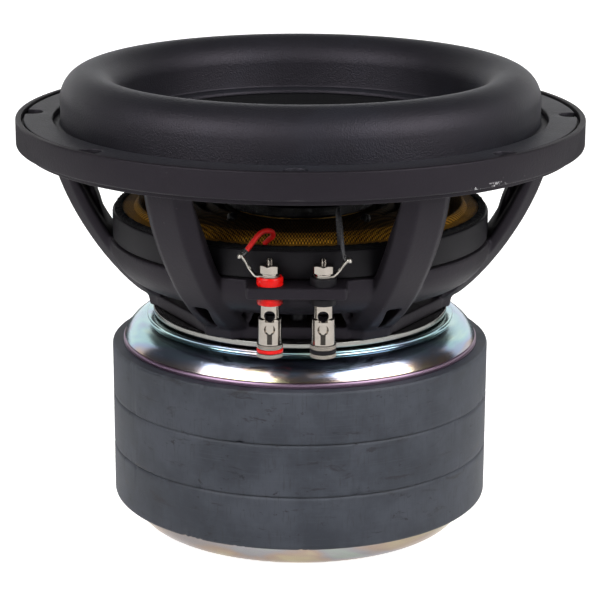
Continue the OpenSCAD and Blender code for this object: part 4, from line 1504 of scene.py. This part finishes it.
def colour_band(end, colour, material, slot):
    """Coloured ring set into the knurl."""
    node = f"band_{end}_{colour}"
    low, high = low_of(node) + 0.03, top_of(node) - 0.03
    corners = [(6.22, low, 0), (KNURL_R - 0.05, low, 0.3), (KNURL_R - 0.05, high, 0.3), (6.22, high, 0)]
    ring = lathe(f"band_ring_{end}_{colour}", rounded(corners, 3), material, 72)
    stand(ring, end, colour)
    return place(ring, f"push_{end}_{colour}", slot, node)


def collars(end, colour, material, slot):
    """Two insulating collars that grip the tab from above and below."""
    top, low = f"collar_top_{end}_{colour}", f"collar_low_{end}_{colour}"
    hole_r, collar_r, neck_r = 2.1, 7.1, 4.8
    z0, z1 = SHELF_Z + 0.02, top_of(top) - 0.02
    upper = [(hole_r, z0, 0), (collar_r, z0, 0.2), (collar_r, z1 - 1.0, 0.5), (6.8, z1, 0.5)]
    upper += [(5.6, z1, 0.3), (5.4, z1 - 0.4, 0.1), (hole_r, z1 - 0.4, 0)]
    ring = lathe(f"collar_upper_{end}_{colour}", rounded(upper, 4), material, 72)
    stand(ring, end, colour)
    place(ring, "frame", slot, top)
    z0, z1 = low_of(low) + 0.02, SHELF_Z - TAB_T - 0.02
    under = [(hole_r, z0, 0), (6.7, z0, 0.4), (collar_r, z1, 0.2), (neck_r, z1, 0)]
    under += [(neck_r, top_of(low), 0), (hole_r, top_of(low), 0)]
    ring = lathe(f"collar_lower_{end}_{colour}", rounded(under, 4), material, 72)
    stand(ring, end, colour)
    place(ring, "frame", slot, low)


def hex_nut(low, high, flats, bore, material, turn):
    """Hexagon nut with chamfered corners and a threaded bore."""
    sides = 96
    apothem = flats / 2
    points = []
    for part in range(6):
        for s in range(sides):
            a = 360 * s / sides
            near = math.radians((a + turn) % 60 - 30)
            hexagon = min(apothem / math.cos(near), apothem * 1.12)
            drop_by = max(0.0, hexagon - apothem * 0.99) * 0.62
            ring = [
                (bore, low + 0.3), (apothem * 0.97, low), (hexagon, low + drop_by),
                (hexagon, high - drop_by), (apothem * 0.97, high), (bore, high - 0.3),
            ][part]
            points.append(around(ring[0], a, ring[1]))
    return make("nut", points, grid_faces(6, sides), material, 25)


def nuts_and_washers():
    """The four nuts and the four washers that hold the lugs."""
    nuts, washers = [], []
    across_flats, bore = 10.4, 1.95
    for end, colour in PAIRS:
        low, high = low_of("terminal_nuts"), top_of("terminal_nuts")
        turn = 12 if colour == "red" else 0
        nut = hex_nut(low, high, across_flats, bore, nickel, turn)
        nuts.append(stand(nut, end, colour))
        low, high = low_of("terminal_washers"), top_of("terminal_washers") - 0.02
        corners = [(2.1, low, 0.1), (4.9, low, 0.15), (4.9, high, 0.25), (2.1, high, 0.1)]
        washers.append(stand(lathe("washer", rounded(corners, 3), nickel, 48), end, colour))
    place(joined("hex_nuts", nuts), "frame", "nickel", "terminal_nuts")
    place(joined("washers", washers), "frame", "nickel", "terminal_washers")


def lug(end, colour):
    """Bent solder lug: an eye under the nut, a hole in its arm and a crimp round the lead."""
    node = f"lug_{end}_{colour}"
    bend, run, rise = LUGS[colour]
    thick, width = 0.75, 3.0
    slope = math.hypot(run, rise)
    eye = 5.2
    count = 40
    length = bend + slope
    stations = [-eye + (length + eye) * k / count for k in range(count + 1)]
    rows = []
    for s in stations:
        half = width * 0.93
        if s < eye:
            half = max(0.4, math.sqrt(max(0.0, eye * eye - s * s)))
            if s > 0:
                half = max(half, width * 0.93)
        if s > length - 1.2:
            half *= math.sqrt(max(0.12, 1 - ((s - length + 1.2) / 1.25) ** 2))
        if s <= bend - 1.5:
            x, z, tilt = s, 0.0, 0.0
        elif s >= bend + 1.5:
            x, z = bend + (s - bend) * run / slope, (s - bend) * rise / slope
            tilt = math.atan2(rise, run)
        else:
            t = (s - bend + 1.5) / 3
            tilt = math.atan2(rise, run) * t
            x = bend - 1.5 + 1.5 * t + 1.5 * t * t * run / slope + 1.5 * t * (1 - t)
            z = 1.5 * t * t * rise / slope
        rows.append((x, z, tilt, half))
    points = []
    lower_side = [(side, 0.0) for side in (-1, -0.5, 0, 0.5, 1)]
    upper_side = [(side, thick) for side in (1, 0.5, 0, -0.5, -1)]
    for x, z, tilt, half in rows:
        nx, nz = -math.sin(tilt), math.cos(tilt)
        for side, up in lower_side + upper_side:
            curl = 0.9 * side * side * eased(x, bend + 3, bend + run * 0.75)
            off = curl + up
            points.append((x + nx * off, side * half * (1 - 0.12 * curl), z + nz * off))
    strip = make("strip", points, capped_faces(points, 10), tin, 35)
    cut(strip, [prism("eye", disc(2.15), -2, 2)], 35)
    tilt = math.degrees(math.atan2(rise, run))
    hole = prism("hole", disc(1.3), -3, 4)
    shift(hole, (bend + run * 0.38, 0, rise * 0.38), "Y", -tilt)
    cut(strip, [hole], 35)
    solder_at = (bend + run * 0.9, 0, rise * 0.9 + 0.7)
    drop_line = [(0, -1.2), (1.3, -1.0), (1.9, 0), (1.6, 0.9), (0.9, 1.3), (0, 1.4)]
    blob = lathe("blob", drop_line, tin, 24, 80)
    shift(blob, solder_at, "Y", 90 - tilt)
    whole = joined(f"solder_lug_{end}_{colour}", [strip, blob])
    turn = 180 if colour == "red" else 0
    shift(whole, (0, 0, LUG_Z + 0.03), "Z", turn)
    stand(whole, end, colour)
    return place(whole, "frame", "tinned_brass", node)


def lead(end, colour):
    """Flexible lead from a lug to the upper spider: sleeved in red, or bare black braid."""
    path = smooth_path(ROUTES[colour], 0.4)
    radius = LEAD_R[colour]

    def braided(length, a):
        one = math.sin(6 * a + 2.4 * length)
        two = math.sin(6 * a - 2.4 * length)
        return radius - 0.14 + 0.16 * max(one, two)

    def sleeved(length, a):
        return radius + 0.05 * math.sin(1.7 * length) * math.sin(0.9 * length + a)

    def wrapped(length, a):
        return radius + 0.45 + 0.15 * math.sin(5 * length) - 0.3 * eased(length, 2.6, 4.0)

    if colour == "red":
        wire = tube("wire", path, sleeved, sleeving, 20, 60)
    else:
        wire = tube("wire", path, braided, braid, 24, 80)
    wrap = tube("wrap", path[:11], wrapped, glue, 20, 60)
    whole = joined(f"lead_wire_{end}_{colour}", [wire, wrap])
    if end == "rear":
        shift(whole, turn="Z", degrees=180)
    slot = "red_sleeving" if colour == "red" else "black_braid"
    return place(whole, "frame", slot, f"lead_{end}_{colour}")


def spring(end, colour):
    """Coil spring between the post and the closed end of the sleeve."""
    node = f"spring_{end}_{colour}"
    low, high = low_of(node), top_of(node)
    wire, coil_r, turns = 0.42, 3.9, 6
    count = turns * 24
    path = []
    for k in range(count + 1):
        t = k / count
        a = math.tau * turns * t
        z = low + wire + (high - low - 2 * wire) * (t * 0.8 + 0.2 * eased(t, 0, 1))
        path.append(Vector((coil_r * math.cos(a), coil_r * math.sin(a), z)))
    coil = tube(f"spring_coil_{end}_{colour}", path, wire, spring_steel, 8, 80)
    stand(coil, end, colour)
    place(coil, "frame", "spring_steel", node)
    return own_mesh(coil)


for end, colour in PAIRS:
    material, slot = (red_plastic, "red_plastic") if colour == "red" else (black_plastic, "black_plastic")
    terminal_post(end, colour)
    push_sleeve(end, colour)
    colour_band(end, colour, material, slot)
    collars(end, colour, material, slot)
    lug(end, colour)
    lead(end, colour)
    spring(end, colour)
nuts_and_washers()

# ---------------------------------------------------------------------------------------------
# Floor, light and camera
# ---------------------------------------------------------------------------------------------


def paper(name, glow):
    """Plain pale paper that also glows a little, as if lit from outside the room."""
    f = Finish(name)
    base = f.blend((0.86, 0.86, 0.86), (0.88, 0.88, 0.88), f.cloud(0.9, 2.0))
    return f.close(
        Base_Color=base,
        Roughness=0.9,
        Specular_IOR_Level=0.0,
        Emission_Color=base,
        Emission_Strength=glow,
    )


FLOOR_Z = cad_box[0][2] / MM - 0.1


def floor():
    """Plain pale floor. Its far part behind the driver doesn't show in reflections."""
    material = paper("floor_paper", 0.85)
    near_r, far_r = 330, 8000
    parts = [
        ("floor_near", 1, near_r, -180, 360),
        ("floor_front", near_r, far_r, -120, 240),
        ("floor_back", near_r, far_r, 120, 120),
    ]
    for name, inner, outer, start, span in parts:
        points = [around(r, start + span * k / 72, FLOOR_Z) for r in (inner, outer) for k in range(73)]
        slab = make(name, points, grid_faces(2, 73, False, False), material)
        slab.visible_diffuse = False
        slab.visible_glossy = name != "floor_back"


def backdrop():
    """Bright round wall. Only its part behind the driver shows in reflections."""
    material = paper("backdrop_paper", 1.0)
    wall_r, heights = 2800, (FLOOR_Z, FLOOR_Z + 1500)
    for name, start, span in (("backdrop_behind", 118, 124), ("backdrop_before", 242, 236)):
        points = [around(wall_r, start + span * k / 40, z) for k in range(41) for z in heights]
        wall = make(name, points, grid_faces(41, 2, False, False), material)
        if name == "backdrop_before":
            wall.visible_diffuse = False
            wall.visible_glossy = False
            wall.visible_shadow = False


def softbox(name, azimuth, elevation, distance, width, height, watts, colour=(1, 1, 1)):
    """A rectangular soft light that faces the driver."""
    light = bpy.data.lights.new(name, "AREA")
    light.shape = "RECTANGLE"
    light.size, light.size_y = width, height
    light.energy, light.color = watts, colour
    lamp = bpy.data.objects.new(name, light)
    bpy.context.scene.collection.objects.link(lamp)
    aim_z = -0.1
    level = distance * math.cos(math.radians(elevation))
    lamp.location = around(level, azimuth, distance * math.sin(math.radians(elevation)) + aim_z)
    aim = Vector((0, 0, aim_z)) - lamp.location
    lamp.rotation_euler = aim.to_track_quat("-Z", "Y").to_euler()


def camera():
    """The camera, level with a spot above the flange and looking down on the driver."""
    lens, distance, height, pitch, roll, azimuth = 132.98, 1.2491, 0.2562, 15.633, 0.167, 0.9
    data = bpy.data.cameras.new("camera")
    data.lens = lens
    data.sensor_width = 36
    data.clip_end = 50
    eye = bpy.data.objects.new("camera", data)
    bpy.context.scene.collection.objects.link(eye)
    a, p, r = math.radians(azimuth), math.radians(pitch), math.radians(roll)
    level = Vector((math.cos(a), math.sin(a), 0))
    ahead = Vector((-math.sin(a) * math.cos(p), math.cos(a) * math.cos(p), -math.sin(p)))
    over = level.cross(ahead)
    right = math.cos(r) * level + math.sin(r) * over
    up = right.cross(ahead)
    turn = Matrix((right, up, -ahead)).transposed().to_4x4()
    eye.matrix_world = Matrix.Translation(around(distance, azimuth, height)) @ turn
    bpy.context.scene.camera = eye


def studio():
    """Dim room light."""
    world = bpy.data.worlds.new("studio")
    world.use_nodes = True
    glow = world.node_tree.nodes["Background"].inputs
    glow["Color"].default_value = (1, 1, 1, 1)
    glow["Strength"].default_value = 0.08
    bpy.context.scene.world = world
    bpy.context.scene.view_settings.view_transform = "Standard"


floor()
backdrop()
studio()
WARM = (1.0, 0.985, 0.98)
softbox("key_left", -43, 32, 1.7, 1.35, 1.05, 29, WARM)
softbox("key_right", 54, 32, 1.7, 1.35, 1.05, 33, WARM)
softbox("overhead", 180, 80, 2.4, 2.6, 2.6, 6)
camera()
